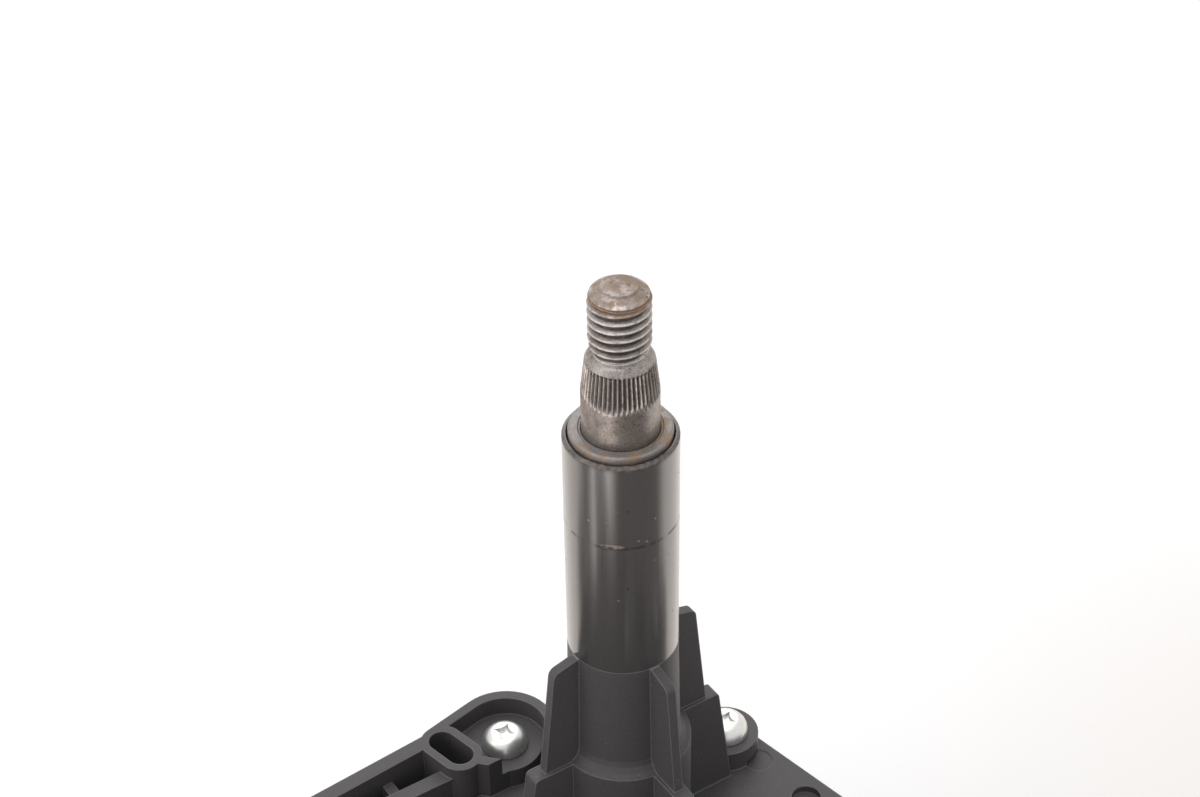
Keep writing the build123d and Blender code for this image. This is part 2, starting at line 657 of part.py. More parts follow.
def spindle_cap_washer():
    bottom = BOSS_TOP + WASHER_PROUD - WASHER_T
    top = bottom + WASHER_T
    inner = SHAFT_R + WASHER_BORE_GAP
    return lathe([(inner, bottom), (WASHER_R, bottom), (WASHER_R, top - 0.3), (WASHER_R - 0.09, top - 0.09),
                  (WASHER_R - 0.3, top), (inner + 0.2, top), (inner, top - 0.2)])


def spindle_circlip():
    clip = ring(0, 0, CLIP_Z + 0.05, SHAFT_R + 1.4, SHAFT_R - CLIP_GROOVE + 0.05, CLIP_T - 0.1)
    gap = block(-1.2, 1.2, 0, 10, CLIP_Z - 1, CLIP_Z + 2)
    lugs = [post(x, SHAFT_R + 1.2, CLIP_Z + 0.05, 1.1, CLIP_T - 0.1) for x in (-2.4, 2.4)]
    return (clip - gap) + lugs


def spindle_pinion():
    points, root_r, top_r = gear_sketch(PINION_TEETH, MODULE)
    blank = prism(make_face(Polyline(*points, close=True)), 0, ROD_Z + ROD_T - PINION_Z)
    toward_pivot = MID_ANGLE - SWING / 2
    turn = toward_pivot - 180 / PINION_TEETH
    return Pos(0, 0, PINION_Z) * Rot(0, 0, turn) * blank - post(0, 0, 0, SHAFT_R, 60)


# ---------------------------------------------------------------- crank rod and rocker

def rocker_plate():
    arm = prism(hull([(0, 0, SHAFT_R + 3), (PIVOT.X, PIVOT.Y, ROCKER_R - 1)]), ROCKER_Z, ROCKER_Z + ROCKER_T)
    holes = [post(0, 0, 0, SHAFT_R + RUNNING_FIT, 60), post(PIVOT.X, PIVOT.Y, 0, PIVOT_PIN_R, 60)]
    return arm - holes


def sector_pivot_pin():
    """Fast in the rocker; the rod turns on it, between its head and the rocker."""
    shank = post(PIVOT.X, PIVOT.Y, ROD_Z - SLIDING_GAP, PIVOT_PIN_R, ROCKER_Z + ROCKER_T - ROD_Z + SLIDING_GAP)
    return shank + post(PIVOT.X, PIVOT.Y, ROCKER_Z + ROCKER_T, PIVOT_PIN_R + 1, 0.8)


def sector_rod():
    points, root_r, top_r = gear_sketch(SECTOR_TEETH, MODULE, first=-1, count=SECTOR_CUT)
    toward_spindle = MID_ANGLE - SWING / 2 + 180
    sector = Pos(PIVOT.X, PIVOT.Y) * Rot(0, 0, toward_spindle) * make_face(Polyline((0, 0), *points, close=True))
    arm = hull([(PIVOT.X, PIVOT.Y, ROCKER_R - 1), (CRANK.X, CRANK.Y, ROD_W / 2)])
    slot_middle = (PIVOT + CRANK) / 2
    slot = Pos(slot_middle.X, slot_middle.Y) * Rot(0, 0, ROD_ANGLE) * SlotOverall(16, 4)
    body = prism(arm, ROD_Z, ROD_Z + ROD_T) + prism(sector, ROD_Z, ROD_Z + ROD_T)
    holes = [
        post(PIVOT.X, PIVOT.Y, 0, PIVOT_PIN_R + RUNNING_FIT, 60),
        post(CRANK.X, CRANK.Y, 0, CRANK_PIN_R, 60),
        prism(slot, ROD_Z - 1, ROD_Z + ROD_T + 1),
    ]
    return body - holes


def crank_pin():
    foot = WHEEL_TOP + SLIDING_GAP
    pin = post(CRANK.X, CRANK.Y, foot, CRANK_PIN_R, ROD_Z + ROD_T - foot)
    return pin + post(CRANK.X, CRANK.Y, ROD_Z + ROD_T, CRANK_PIN_R + 1, 0.8)


# ---------------------------------------------------------------- worm wheel

def worm_wheel():
    points, root_r, top_r = gear_sketch(WHEEL_TEETH, WHEEL_MODULE, flank_points=3)
    face = make_face(Polyline(*points, close=True))
    low = MOTOR_AXIS_Z - WHEEL_T / 2
    lead = atan(WHEEL_MODULE / (2 * WORM_PITCH_R))
    twist = degrees(tan(lead) * WHEEL_T / 2 / WHEEL_R)
    sections = [Pos(0, 0, low) * Rot(0, 0, -90 - twist) * face, Pos(0, 0, WHEEL_TOP) * Rot(0, 0, -90 + twist) * face]
    blank = loft(sections, ruled=True)
    web_z = MOTOR_AXIS_Z - WHEEL_WEB_T / 2
    pockets = [
        ring(0, 0, low - 1, root_r - 1.6, WHEEL_HUB_R, web_z - low + 1),
        ring(0, 0, web_z + WHEEL_WEB_T, root_r - 1.6, WHEEL_HUB_R + CRANK_R + 1, 5),
    ]
    hub = post(0, 0, HUB_Z, WHEEL_HUB_R, WHEEL_TOP - HUB_Z)
    body = (blank - pockets) + hub - post(0, 0, 0, AXLE_R + RUNNING_FIT, 60)
    return Pos(WHEEL.X, WHEEL.Y) * body


def wheel_axle():
    return post(WHEEL.X, WHEEL.Y, FLOOR_T, AXLE_R, WHEEL_TOP - FLOOR_T)


def park_disc():
    web_z = MOTOR_AXIS_Z - WHEEL_WEB_T / 2
    disc = ring(WHEEL.X, WHEEL.Y, web_z - PARK_T, PARK_R, PARK_INNER_R, PARK_T)
    notch = Pos(WHEEL.X, WHEEL.Y) * Rot(0, 0, 35) * block(PARK_R - 3.2, PARK_R + 2, -5, 5, 0, 40)
    return disc - notch


def contact_plate():
    low = SIDE_Y + PLATE_INSET
    plate = block(*PLATE_SPAN, low, low + PLATE_W, FLOOR_T, FLOOR_T + PLATE_T)
    plate = plate + block(*TONGUE_SPAN, low + PLATE_W, low + PLATE_W + TONGUE_L, FLOOR_T, FLOOR_T + PLATE_T)
    return plate - [post(x, y, 0, SCREW_POST_R + 0.4, 20) for x, y in SCREWS]


def contact_fingers():
    z = FLOOR_T + PLATE_T
    tip = MOTOR_AXIS_Z - WHEEL_WEB_T / 2 - PARK_T - SLIDING_GAP
    blade = make_face(Polyline(
        (FINGER_FOOT_X, 0, z), (FINGER_FOOT_X - 2, 0, z + 5), (FINGER_TIP_X + 2, 0, tip),
        (FINGER_TIP_X, 0, tip - 0.8), (FINGER_TIP_X, 0, tip - 1.3), (FINGER_TIP_X + 2, 0, tip - 0.5),
        (FINGER_FOOT_X - 2.4, 0, z + 4.5), (FINGER_FOOT_X - 0.6, 0, z), close=True))
    one = extrude(blade, FINGER_W / 2, dir=(0, 1, 0), both=True)
    return Compound(children=[Pos(0, y, 0) * one for y in FINGER_YS])


# ---------------------------------------------------------------- connector

def plug_block(grow_x, y0, y1, grow_z):
    """A block round the connector's middle, this much larger than its shell."""
    half_w = PLUG_W / 2 + grow_x
    half_h = PLUG_H / 2 + grow_z
    return block(PLUG_X - half_w, PLUG_X + half_w, y0, y1, PLUG_Z - half_h, PLUG_Z + half_h)


def connector_shell():
    mouth = SIDE_Y - PLUG_D
    outer = fillet(plug_block(0, mouth, SIDE_Y, 0).edges().filter_by(Axis.Y), PLUG_CORNER)
    collar = plug_block(PLUG_COLLAR, SIDE_Y - PLUG_COLLAR, SIDE_Y, PLUG_COLLAR_RISE)
    neck = plug_block(-PLUG_NECK, SIDE_Y, SIDE_Y + PLUG_NECK_L, -PLUG_NECK)
    top = PLUG_Z + PLUG_H / 2
    latch = block(PLUG_X - LATCH_W / 2, PLUG_X + LATCH_W / 2, mouth + 2, mouth + 2 + LATCH_L, top, top + LATCH_H)
    socket = plug_block(-PLUG_WALL, mouth - 1, SIDE_Y - PLUG_BACK, -PLUG_WALL)
    low = PLUG_Z - PLUG_H / 2
    keys = [block(x - KEY_W / 2, x + KEY_W / 2, mouth, SIDE_Y - 1, low - KEY_H, low + 0.2)
            for x in (PLUG_X - KEY_X, PLUG_X + KEY_X)]
    body = (outer + [collar, neck, latch] + keys) - socket
    return body - pin_blades()


def pin_blades():
    xs = [PLUG_X + (i - (PIN_COUNT - 1) / 2) * PIN_PITCH for i in range(PIN_COUNT)]
    return [block(x - PIN_W / 2, x + PIN_W / 2, SIDE_Y - PLUG_D + PIN_INSET, SIDE_Y + PIN_TAIL,
                  PLUG_Z - PIN_T / 2, PLUG_Z + PIN_T / 2) for x in xs]


def connector_pins():
    legs = []
    for blade in pin_blades():
        box = blade.bounding_box()
        leg = block(box.min.X, box.max.X, SIDE_Y + PIN_TAIL - PIN_T, SIDE_Y + PIN_TAIL, FLOOR_T + PLATE_T, box.max.Z)
        legs.append(blade + leg)
    return Compound(children=legs)


# ---------------------------------------------------------------- motor

def turned_x(x, points):
    """Revolves an r, length outline about the motor axis, from x towards +X."""
    return Pos(x, MOTOR_Y, MOTOR_AXIS_Z) * Rot(0, 90, 0) * lathe(points)


def motor_can():
    r = CAN_R - CAN_SHOULDER
    length = BEARING_POCKET_L + CAN_L
    shell = turned_x(CAN_REAR_X - BEARING_POCKET_L, [
        (0, 0), (BEARING_POCKET_R - 1, 0), (BEARING_POCKET_R, 1), (BEARING_POCKET_R, BEARING_POCKET_L),
        (r, BEARING_POCKET_L), (r + 0.6 * CAN_SHOULDER, BEARING_POCKET_L + 0.2 * CAN_SHOULDER),
        (r + 0.9 * CAN_SHOULDER, BEARING_POCKET_L + 0.5 * CAN_SHOULDER), (CAN_R, BEARING_POCKET_L + CAN_SHOULDER),
        (CAN_R, length), (0, length),
    ])
    circles = [(0, 0, CAN_R), (CAN_LUG_Y, 0, CAN_LUG_R), (-CAN_LUG_Y, 0, CAN_LUG_R)]
    face = Plane(origin=(CAN_FACE_X, MOTOR_Y, MOTOR_AXIS_Z), x_dir=(0, 1, 0), z_dir=(1, 0, 0))
    lip = extrude(face * hull(circles), -CAN_WALL)
    inside = turned_x(CAN_REAR_X + CAN_WALL, [
        (0, 0), (r - 0.3 * CAN_WALL, 0), (CAN_R - CAN_WALL, CAN_SHOULDER), (CAN_R - CAN_WALL, CAN_L), (0, CAN_L)])
    pocket = bar_x(CAN_REAR_X - BEARING_POCKET_L + CAN_WALL, CAN_FACE_X, BEARING_R)
    return (shell + lip) - ([inside, pocket] + can_screw_holes(8))


def can_screw_holes(depth):
    at = [Pos(CAN_FACE_X, MOTOR_Y + side * CAN_LUG_Y, MOTOR_AXIS_Z) * Rot(0, 90, 0) for side in (-1, 1)]
    return [place * Cylinder(SCREW_R + SCREW_HOLE_GAP, 2 * depth) for place in at]


def can_screws():
    one = Rot(0, -90, 0) * screw(CAN_WALL + FLANGE_T + 2.5)
    seat = CAN_FACE_X - CAN_WALL
    return Compound(children=[Pos(seat, MOTOR_Y + side * CAN_LUG_Y, MOTOR_AXIS_Z) * one for side in (-1, 1)])


def magnets():
    outer = CAN_R - CAN_WALL - MAGNET_FIT
    x0 = CORE_X - MAGNET_OVERHANG
    x1 = CORE_X + CORE_L + MAGNET_OVERHANG
    half_gap = 0.46 * CAN_R
    gap = block(x0 - 1, x1 + 1, MOTOR_Y - half_gap, MOTOR_Y + half_gap, MOTOR_AXIS_Z - CAN_R, MOTOR_AXIS_Z + CAN_R)
    return Compound(children=(tube_x(x0, x1, outer, outer - MAGNET_T) - gap).solids())


def magnet_clips():
    inner = CAN_R - CAN_WALL - CLIP_SPRING_GAP
    return Compound(children=[
        block(CORE_X, CORE_X + CORE_L, MOTOR_Y - CLIP_SPRING_W / 2, MOTOR_Y + CLIP_SPRING_W / 2,
              MOTOR_AXIS_Z + z, MOTOR_AXIS_Z + z + CLIP_SPRING_T)
        for z in (-inner, inner - CLIP_SPRING_T)])


def armature_shaft():
    worm_x = WHEEL.X - WORM_L / 2
    root_r = WORM_PITCH_R - 1.15 * WHEEL_MODULE
    rear_x = CAN_REAR_X - BEARING_POCKET_L + CAN_WALL + SLIDING_GAP
    shaft = bar_x(rear_x, worm_x, MOTOR_SHAFT_R) + bar_x(worm_x + WORM_L, SHAFT_FRONT_X, MOTOR_SHAFT_R)
    return shaft + bar_x(worm_x, worm_x + WORM_L, root_r) + worm_thread(root_r)


def worm_thread(root_r):
    pitch = pi * WHEEL_MODULE
    top_r = WORM_PITCH_R + 0.85 * WHEEL_MODULE
    slope = tan(radians(20))
    half = (pitch / 2 - BACKLASH) / 2
    low_r = root_r - 0.15
    low = half + (WORM_PITCH_R - low_r) * slope
    high = half - (top_r - WORM_PITCH_R) * slope
    turns = int(WORM_L / pitch) - 1
    profile = make_face(Polyline((low_r, 0, -low), (top_r, 0, -high), (top_r, 0, high), (low_r, 0, low), close=True))
    path = Helix(pitch, turns * pitch, low_r)
    thread = sweep(profile, path, is_frenet=True)
    start = WHEEL.X + pitch * (0.25 - (turns + 1) // 2)
    return Pos(start, MOTOR_Y, MOTOR_AXIS_Z) * Rot(0, 90, 0) * thread


def armature_core():
    disc = Circle(CORE_R) - Circle(MOTOR_SHAFT_R)
    slots = []
    for i in range(CORE_SLOTS):
        place = Rot(0, 0, i * 360 / CORE_SLOTS)
        slots.append(place * Pos(CORE_R, 0) * Rectangle(3 * SLOT_LIP, SLOT_MOUTH))
        slots.append(place * Pos(SLOT_MIDDLE, 0) * Rectangle(SLOT_DEPTH, SLOT_W))
    stack = extrude(disc - slots, CORE_L)
    return Pos(CORE_X, MOTOR_Y, MOTOR_AXIS_Z) * Rot(0, 90, 0) * stack


def armature_windings():
    wire = Rectangle(SLOT_DEPTH - 2 * WIRE_GAP, SLOT_W - 2 * WIRE_GAP)
    bars = [Rot(0, 0, i * 360 / CORE_SLOTS) * Pos(SLOT_MIDDLE, 0) * wire for i in range(CORE_SLOTS)]
    fill = [Pos(CORE_X, MOTOR_Y, MOTOR_AXIS_Z) * Rot(0, 90, 0) * extrude(bar, CORE_L) for bar in bars]
    r = CORE_R - WINDING_STEP
    turns = [(MOTOR_SHAFT_R + 0.2, 0), (r - 2, 0), (r, 1.6), (r, WINDING_L - 1.2), (r - 1.4, WINDING_L),
             (MOTOR_SHAFT_R + 0.2, WINDING_L)]
    mirrored = [(a, WINDING_L - b) for a, b in turns]
    body = turned_x(CORE_X - WINDING_L, turns) + turned_x(CORE_X + CORE_L, mirrored)
    return body + fill


def commutator():
    drum = tube_x(COMMUTATOR_X, COMMUTATOR_X + COMMUTATOR_L, COMMUTATOR_R, MOTOR_SHAFT_R)
    slits = [
        Pos(COMMUTATOR_X + COMMUTATOR_L / 2, MOTOR_Y, MOTOR_AXIS_Z) * Rot(i * 360 / COMMUTATOR_BARS, 0, 0) * Pos(0, 0, COMMUTATOR_R)
        * Box(COMMUTATOR_L + 2, 0.5, 1.6) for i in range(COMMUTATOR_BARS)
    ]
    return drum - slits


def brush_boxes(grow_x, grow_y, r0, r1):
    """Boxes over and under the commutator, from radius r0 to r1."""
    half = BRUSH_W / 2 + grow_y
    boxes = []
    for side in (-1, 1):
        z0, z1 = sorted((MOTOR_AXIS_Z + side * r0, MOTOR_AXIS_Z + side * r1))
        boxes.append(block(BRUSH_X - grow_x, BRUSH_X + BRUSH_L + grow_x, MOTOR_Y - half, MOTOR_Y + half, z0, z1))
    return boxes


def brush_holder():
    low = COMMUTATOR_R + GUIDE_WALL
    half = BRUSH_W / 2 + GUIDE_WALL + BRUSH_FIT
    plate = tube_x(HOLDER_X, HOLDER_X + HOLDER_T, CAN_R - CAN_WALL - SLIDING_GAP, low)
    guides = brush_boxes(GUIDE_WALL + BRUSH_FIT, GUIDE_WALL + BRUSH_FIT, low, GUIDE_TOP)
    bridge = [block(BRUSH_X + BRUSH_L, HOLDER_X + HOLDER_T / 2, MOTOR_Y - half, MOTOR_Y + half, *span) for span in (
        (MOTOR_AXIS_Z + low, MOTOR_AXIS_Z + GUIDE_TOP), (MOTOR_AXIS_Z - GUIDE_TOP, MOTOR_AXIS_Z - low))]
    return (plate + guides + bridge) - brush_boxes(BRUSH_FIT, BRUSH_FIT, COMMUTATOR_R, GUIDE_TOP - GUIDE_CAP)


def brushes():
    foot = COMMUTATOR_R + SLIDING_GAP
    return Compound(children=brush_boxes(0, 0, foot, foot + BRUSH_H))


def brush_springs():
    foot = COMMUTATOR_R + SLIDING_GAP + BRUSH_H
    x = BRUSH_X + BRUSH_L / 2
    return Compound(children=[
        ring(x, MOTOR_Y, z, SPRING_R, SPRING_R - SPRING_T, SPRING_ROOM)
        for z in (MOTOR_AXIS_Z + foot, MOTOR_AXIS_Z - foot - SPRING_ROOM)])


def choke_coils():
    x = HOLDER_X - CHOKE_L
    y = CAN_R - CAN_WALL - CHOKE_R - CHOKE_CLEAR
    return Compound(children=[
        Pos(x, MOTOR_Y + side * y, MOTOR_AXIS_Z) * Rot(0, 90, 0) * Cylinder(CHOKE_R, CHOKE_L, align=UP)
        for side in (-1, 1)])


def front_bearing():
    return tube_x(WALL_X - 1.0, WALL_X + 8.0, BEARING_R, MOTOR_SHAFT_R + RUNNING_FIT)


def bearing_retainer():
    return tube_x(CAN_FACE_X + 0.4, WALL_X - 1.0, BEARING_R, MOTOR_SHAFT_R + 1.2)


def rear_bearing():
    rear = CAN_REAR_X - BEARING_POCKET_L + CAN_WALL
    return tube_x(rear + 1.0, rear + 6.0, BEARING_R, MOTOR_SHAFT_R + RUNNING_FIT)


def worm_bush():
    return tube_x(*WORM_BUSH_SPAN, WORM_BUSH_R, MOTOR_SHAFT_R + RUNNING_FIT)


def thrust_pad():
    return bar_x(SHAFT_FRONT_X + SLIDING_GAP, SHAFT_FRONT_X + SLIDING_GAP + PAD_T, WORM_BUSH_R)


# ---------------------------------------------------------------- mounting

def mount_grommets():
    middle = EAR_Z + EAR_T / 2
    low = middle - GROMMET_H / 2
    high = middle + GROMMET_H / 2
    section = [
        (SLEEVE_R, low), (GROMMET_R - 0.8, low), (GROMMET_R, low + 0.8), (GROMMET_R, EAR_Z), (GROMMET_WAIST_R, EAR_Z),
        (GROMMET_WAIST_R, EAR_Z + EAR_T), (GROMMET_R, EAR_Z + EAR_T), (GROMMET_R, high - 0.8), (GROMMET_R - 0.8, high),
        (SLEEVE_R, high),
    ]
    one = lathe(section)
    return Compound(children=[Pos(x, y, 0) * one for x, y in EARS])


def mount_sleeves():
    low = EAR_Z + EAR_T / 2 - GROMMET_H / 2
    one = ring(0, 0, low, SLEEVE_R, SLEEVE_BORE_R, SLEEVE_H) + ring(0, 0, low - 1.2, SLEEVE_R + 3.2, SLEEVE_BORE_R, 1.2)
    return Compound(children=[Pos(x, y, 0) * one for x, y in EARS])


PIECES = [
    gear_housing, bottom_cover, cover_gasket, cover_screws,
    spindle, upper_bush, lower_bush, spindle_seal, spindle_cap_washer, spindle_circlip, spindle_pinion,
    rocker_plate, sector_pivot_pin, sector_rod, crank_pin,
    worm_wheel, wheel_axle, park_disc, contact_plate, contact_fingers,
    connector_shell, connector_pins,
    motor_can, can_screws, magnets, magnet_clips,
    armature_shaft, armature_core, armature_windings, commutator,
    brush_holder, brushes, brush_springs, choke_coils,
    front_bearing, bearing_retainer, rear_bearing, worm_bush, thrust_pad,
    mount_grommets, mount_sleeves,
]

if __name__ == "__main__":
    for piece in PIECES:
        export_step(piece(), f"parts/{piece.__name__}.step")
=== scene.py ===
import json
import math

import bmesh
import bpy
from mathutils import Matrix, Vector


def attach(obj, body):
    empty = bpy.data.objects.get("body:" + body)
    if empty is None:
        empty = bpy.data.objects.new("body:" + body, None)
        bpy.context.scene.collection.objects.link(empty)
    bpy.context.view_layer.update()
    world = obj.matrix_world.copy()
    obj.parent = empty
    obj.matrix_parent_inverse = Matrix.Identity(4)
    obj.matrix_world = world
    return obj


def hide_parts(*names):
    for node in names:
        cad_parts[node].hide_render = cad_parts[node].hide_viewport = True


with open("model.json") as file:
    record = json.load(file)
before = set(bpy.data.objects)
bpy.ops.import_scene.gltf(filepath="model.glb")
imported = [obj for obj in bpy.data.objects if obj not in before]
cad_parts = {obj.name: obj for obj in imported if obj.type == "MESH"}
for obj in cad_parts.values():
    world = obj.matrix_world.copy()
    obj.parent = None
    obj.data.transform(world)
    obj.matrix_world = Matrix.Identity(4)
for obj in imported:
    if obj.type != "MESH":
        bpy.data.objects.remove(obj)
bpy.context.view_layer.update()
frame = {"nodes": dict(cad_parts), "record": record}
nodes = frame["nodes"]
scene = bpy.context.scene
mm = 0.001
print("frame loaded:", len(nodes), "nodes")


# node tree helpers

def setInputs(tree, made, inputs):
    for key, value in inputs.items():
        if isinstance(value, bpy.types.NodeSocket):
            tree.links.new(value, made.inputs[key])
        else:
            made.inputs[key].default_value = value


def addNode(tree, kind, settings=None, inputs=None):
    made = tree.nodes.new(kind)
    for key, value in (settings or {}).items():
        setattr(made, key, value)
    setInputs(tree, made, inputs or {})
    return made


def mathNode(tree, operation, first, second=0.0, clamp=False):
    settings = {"operation": operation, "use_clamp": clamp}
    return addNode(tree, "ShaderNodeMath", settings, {0: first, 1: second}).outputs[0]


def times(tree, first, second):
    return mathNode(tree, "MULTIPLY", first, second)


def larger(tree, first, second):
    return mathNode(tree, "MAXIMUM", first, second)


def ramp(tree, value, low, high, toLow=0.0, toHigh=1.0):
    inputs = {"Value": value, "From Min": low, "From Max": high, "To Min": toLow, "To Max": toHigh}
    return addNode(tree, "ShaderNodeMapRange", {"interpolation_type": "SMOOTHSTEP"}, inputs).outputs["Result"]


def heightRamp(tree, height, low, high, toLow=0.0, toHigh=1.0):
    return ramp(tree, height, low * mm, high * mm, toLow, toHigh)


def heightBand(tree, height, middle, outer, inner):
    # 1 at the middle height, gone at the outer distance above and below it
    offset = mathNode(tree, "ABSOLUTE", mathNode(tree, "SUBTRACT", height, middle * mm))
    return ramp(tree, offset, outer * mm, inner * mm)


def noise(tree, place, scale, detail, roughness=0.5):
    inputs = {"Vector": place, "Scale": scale, "Detail": detail, "Roughness": roughness}
    return addNode(tree, "ShaderNodeTexNoise", None, inputs).outputs["Fac"]


def blendValue(tree, amount, first, second):
    return addNode(tree, "ShaderNodeMix", {"data_type": "FLOAT"}, {0: amount, 2: first, 3: second}).outputs[0]


def opaque(colour):
    return colour if isinstance(colour, bpy.types.NodeSocket) else (*colour, 1.0)


def blendColour(tree, amount, first, second):
    # sockets 6 and 7 are the Mix node's two colours
    inputs = {0: amount, 6: opaque(first), 7: opaque(second)}
    return addNode(tree, "ShaderNodeMix", {"data_type": "RGBA"}, inputs).outputs[2]


def layColours(tree, colour, layers):
    # each layer is a mask, the strength of its cover and its colour
    for mask, strength, tint in layers:
        colour = blendColour(tree, times(tree, mask, strength), colour, tint)
    return colour


def newGroup(name, inputs, outputs):
    tree = bpy.data.node_groups.new(name, "ShaderNodeTree")
    for label, kind in inputs.items():
        tree.interface.new_socket(label, in_out="INPUT", socket_type="NodeSocket" + kind)
    for label, kind in outputs.items():
        tree.interface.new_socket(label, in_out="OUTPUT", socket_type="NodeSocket" + kind)
    return tree, tree.nodes.new("NodeGroupInput").outputs, tree.nodes.new("NodeGroupOutput").inputs


def useGroup(tree, group, inputs):
    return addNode(tree, "ShaderNodeGroup", {"node_tree": group}, inputs).outputs


# shared effects

edgeLook = {"samples": 6, "flat": 0.995, "wearAndHighlight": 0.86}


def makeEdgeGroup(look):
    # rounds sharp edges in the shading and marks them for wear and a painted highlight
    tree, given, result = newGroup(
        "roundedEdges",
        {"Radius": "Float", "Grain Height": "Float", "Grain Depth": "Float"},
        {"Edge": "Float", "Normal": "Vector"})
    bevel = addNode(tree, "ShaderNodeBevel", {"samples": look["samples"]}, {"Radius": given["Radius"]})
    rounded = bevel.outputs[0]
    flat = addNode(tree, "ShaderNodeNewGeometry").outputs["Normal"]
    facing = addNode(tree, "ShaderNodeVectorMath", {"operation": "DOT_PRODUCT"}, {0: rounded, 1: flat})
    edge = ramp(tree, facing.outputs["Value"], look["flat"], look["wearAndHighlight"])
    bump = addNode(tree, "ShaderNodeBump", None,
                   {"Height": given["Grain Height"], "Distance": given["Grain Depth"], "Normal": rounded})
    tree.links.new(edge, result["Edge"])
    tree.links.new(bump.outputs[0], result["Normal"])
    return tree


grimeLook = {
    "patchDetail": 6.0, "patchRoughness": 0.62, "patchTop": 0.72, "patchFade": 0.22,
    "speckRadius": (0.22, 0.08), "grainFiner": 2.2, "grainDetail": 3.0}


def makeGrimeGroup(look):
    # patches of settled dirt, small specks and a fine grain
    tree, given, result = newGroup(
        "settledGrime",
        {"Vector": "Vector", "Patch Scale": "Float", "Speck Scale": "Float", "Cover": "Float"},
        {"Patch": "Float", "Speck": "Float", "Grain": "Float"})
    patch = noise(tree, given["Vector"], given["Patch Scale"], look["patchDetail"], look["patchRoughness"])
    low = mathNode(tree, "SUBTRACT", look["patchTop"], given["Cover"])
    above = mathNode(tree, "SUBTRACT", patch, low)
    tree.links.new(ramp(tree, above, 0.0, look["patchFade"]), result["Patch"])
    cellInputs = {"Vector": given["Vector"], "Scale": given["Speck Scale"]}
    cells = addNode(tree, "ShaderNodeTexVoronoi", None, cellInputs).outputs
    near = ramp(tree, cells["Distance"], *look["speckRadius"])
    drawn = addNode(tree, "ShaderNodeSeparateColor", None, {0: cells["Color"]}).outputs[0]
    chosen = mathNode(tree, "LESS_THAN", drawn, given["Cover"])
    tree.links.new(times(tree, near, chosen), result["Speck"])
    grainScale = times(tree, given["Speck Scale"], look["grainFiner"])
    tree.links.new(noise(tree, given["Vector"], grainScale, look["grainDetail"]), result["Grain"])
    return tree


edgeGroup = makeEdgeGroup(edgeLook)
grimeGroup = makeGrimeGroup(grimeLook)
print("shared effects made")


# finishes: edge radii and grain depths in millimetres, pattern scales per metre

plainLook = {
    "colour": (0.5, 0.5, 0.5), "dark": 0.8, "toneRange": (0.25, 0.75), "metal": 0.0, "specular": 0.5,
    "rough": 0.4, "roughSpread": 0.1, "edge": 0.25, "edgeColour": (0.6, 0.6, 0.6), "edgeAmount": 0.3,
    "patchScale": 60.0, "speckScale": 900.0, "cover": 0.2, "grime": (0.2, 0.16, 0.12), "grimeAmount": 0.3,
    "speckGain": 2.0, "grainDepth": 0.02}


def startFinish(name, look):
    look = {**plainLook, **look}
    material = bpy.data.materials.new(name)
    material.use_nodes = True
    tree = material.node_tree
    shader = tree.nodes["Principled BSDF"]
    shader.inputs["Metallic"].default_value = look["metal"]
    shader.inputs["Specular IOR Level"].default_value = look["specular"]
    place = addNode(tree, "ShaderNodeTexCoord").outputs["Object"]
    grime = useGroup(tree, grimeGroup, {"Vector": place, "Patch Scale": look["patchScale"],
                                        "Speck Scale": look["speckScale"], "Cover": look["cover"]})
    edges = useGroup(tree, edgeGroup, {"Radius": look["edge"] * mm, "Grain Height": grime["Grain"],
                                       "Grain Depth": look["grainDepth"] * mm})
    darker = tuple(part * look["dark"] for part in look["colour"])
    colour = blendColour(tree, ramp(tree, grime["Grain"], *look["toneRange"]), darker, look["colour"])
    speckAmount = min(1.0, look["grimeAmount"] * look["speckGain"])
    dirt = larger(tree, times(tree, grime["Patch"], look["grimeAmount"]),
                  times(tree, grime["Speck"], speckAmount))
    # edges take the lighter edge colour: wear together with a painted highlight
    colour = layColours(tree, colour, [(edges["Edge"], look["edgeAmount"], look["edgeColour"]),
                                       (dirt, 1.0, look["grime"])])
    roughest = min(1.0, look["rough"] + look["roughSpread"])
    rough = ramp(tree, grime["Patch"], 0.0, 1.0, look["rough"], roughest)
    return {"material": material, "tree": tree, "shader": shader, "place": place,
            "colour": colour, "rough": rough, "normal": edges["Normal"]}


def endFinish(parts):
    tree = parts["tree"]
    tree.links.new(parts["colour"], parts["shader"].inputs["Base Color"])
    tree.links.new(parts["rough"], parts["shader"].inputs["Roughness"])
    tree.links.new(parts["normal"], parts["shader"].inputs["Normal"])
    return parts["material"]


def plainFinish(name, look):
    return endFinish(startFinish(name, look))


# the housing: heights and widths in millimetres, bearings and arcs in degrees

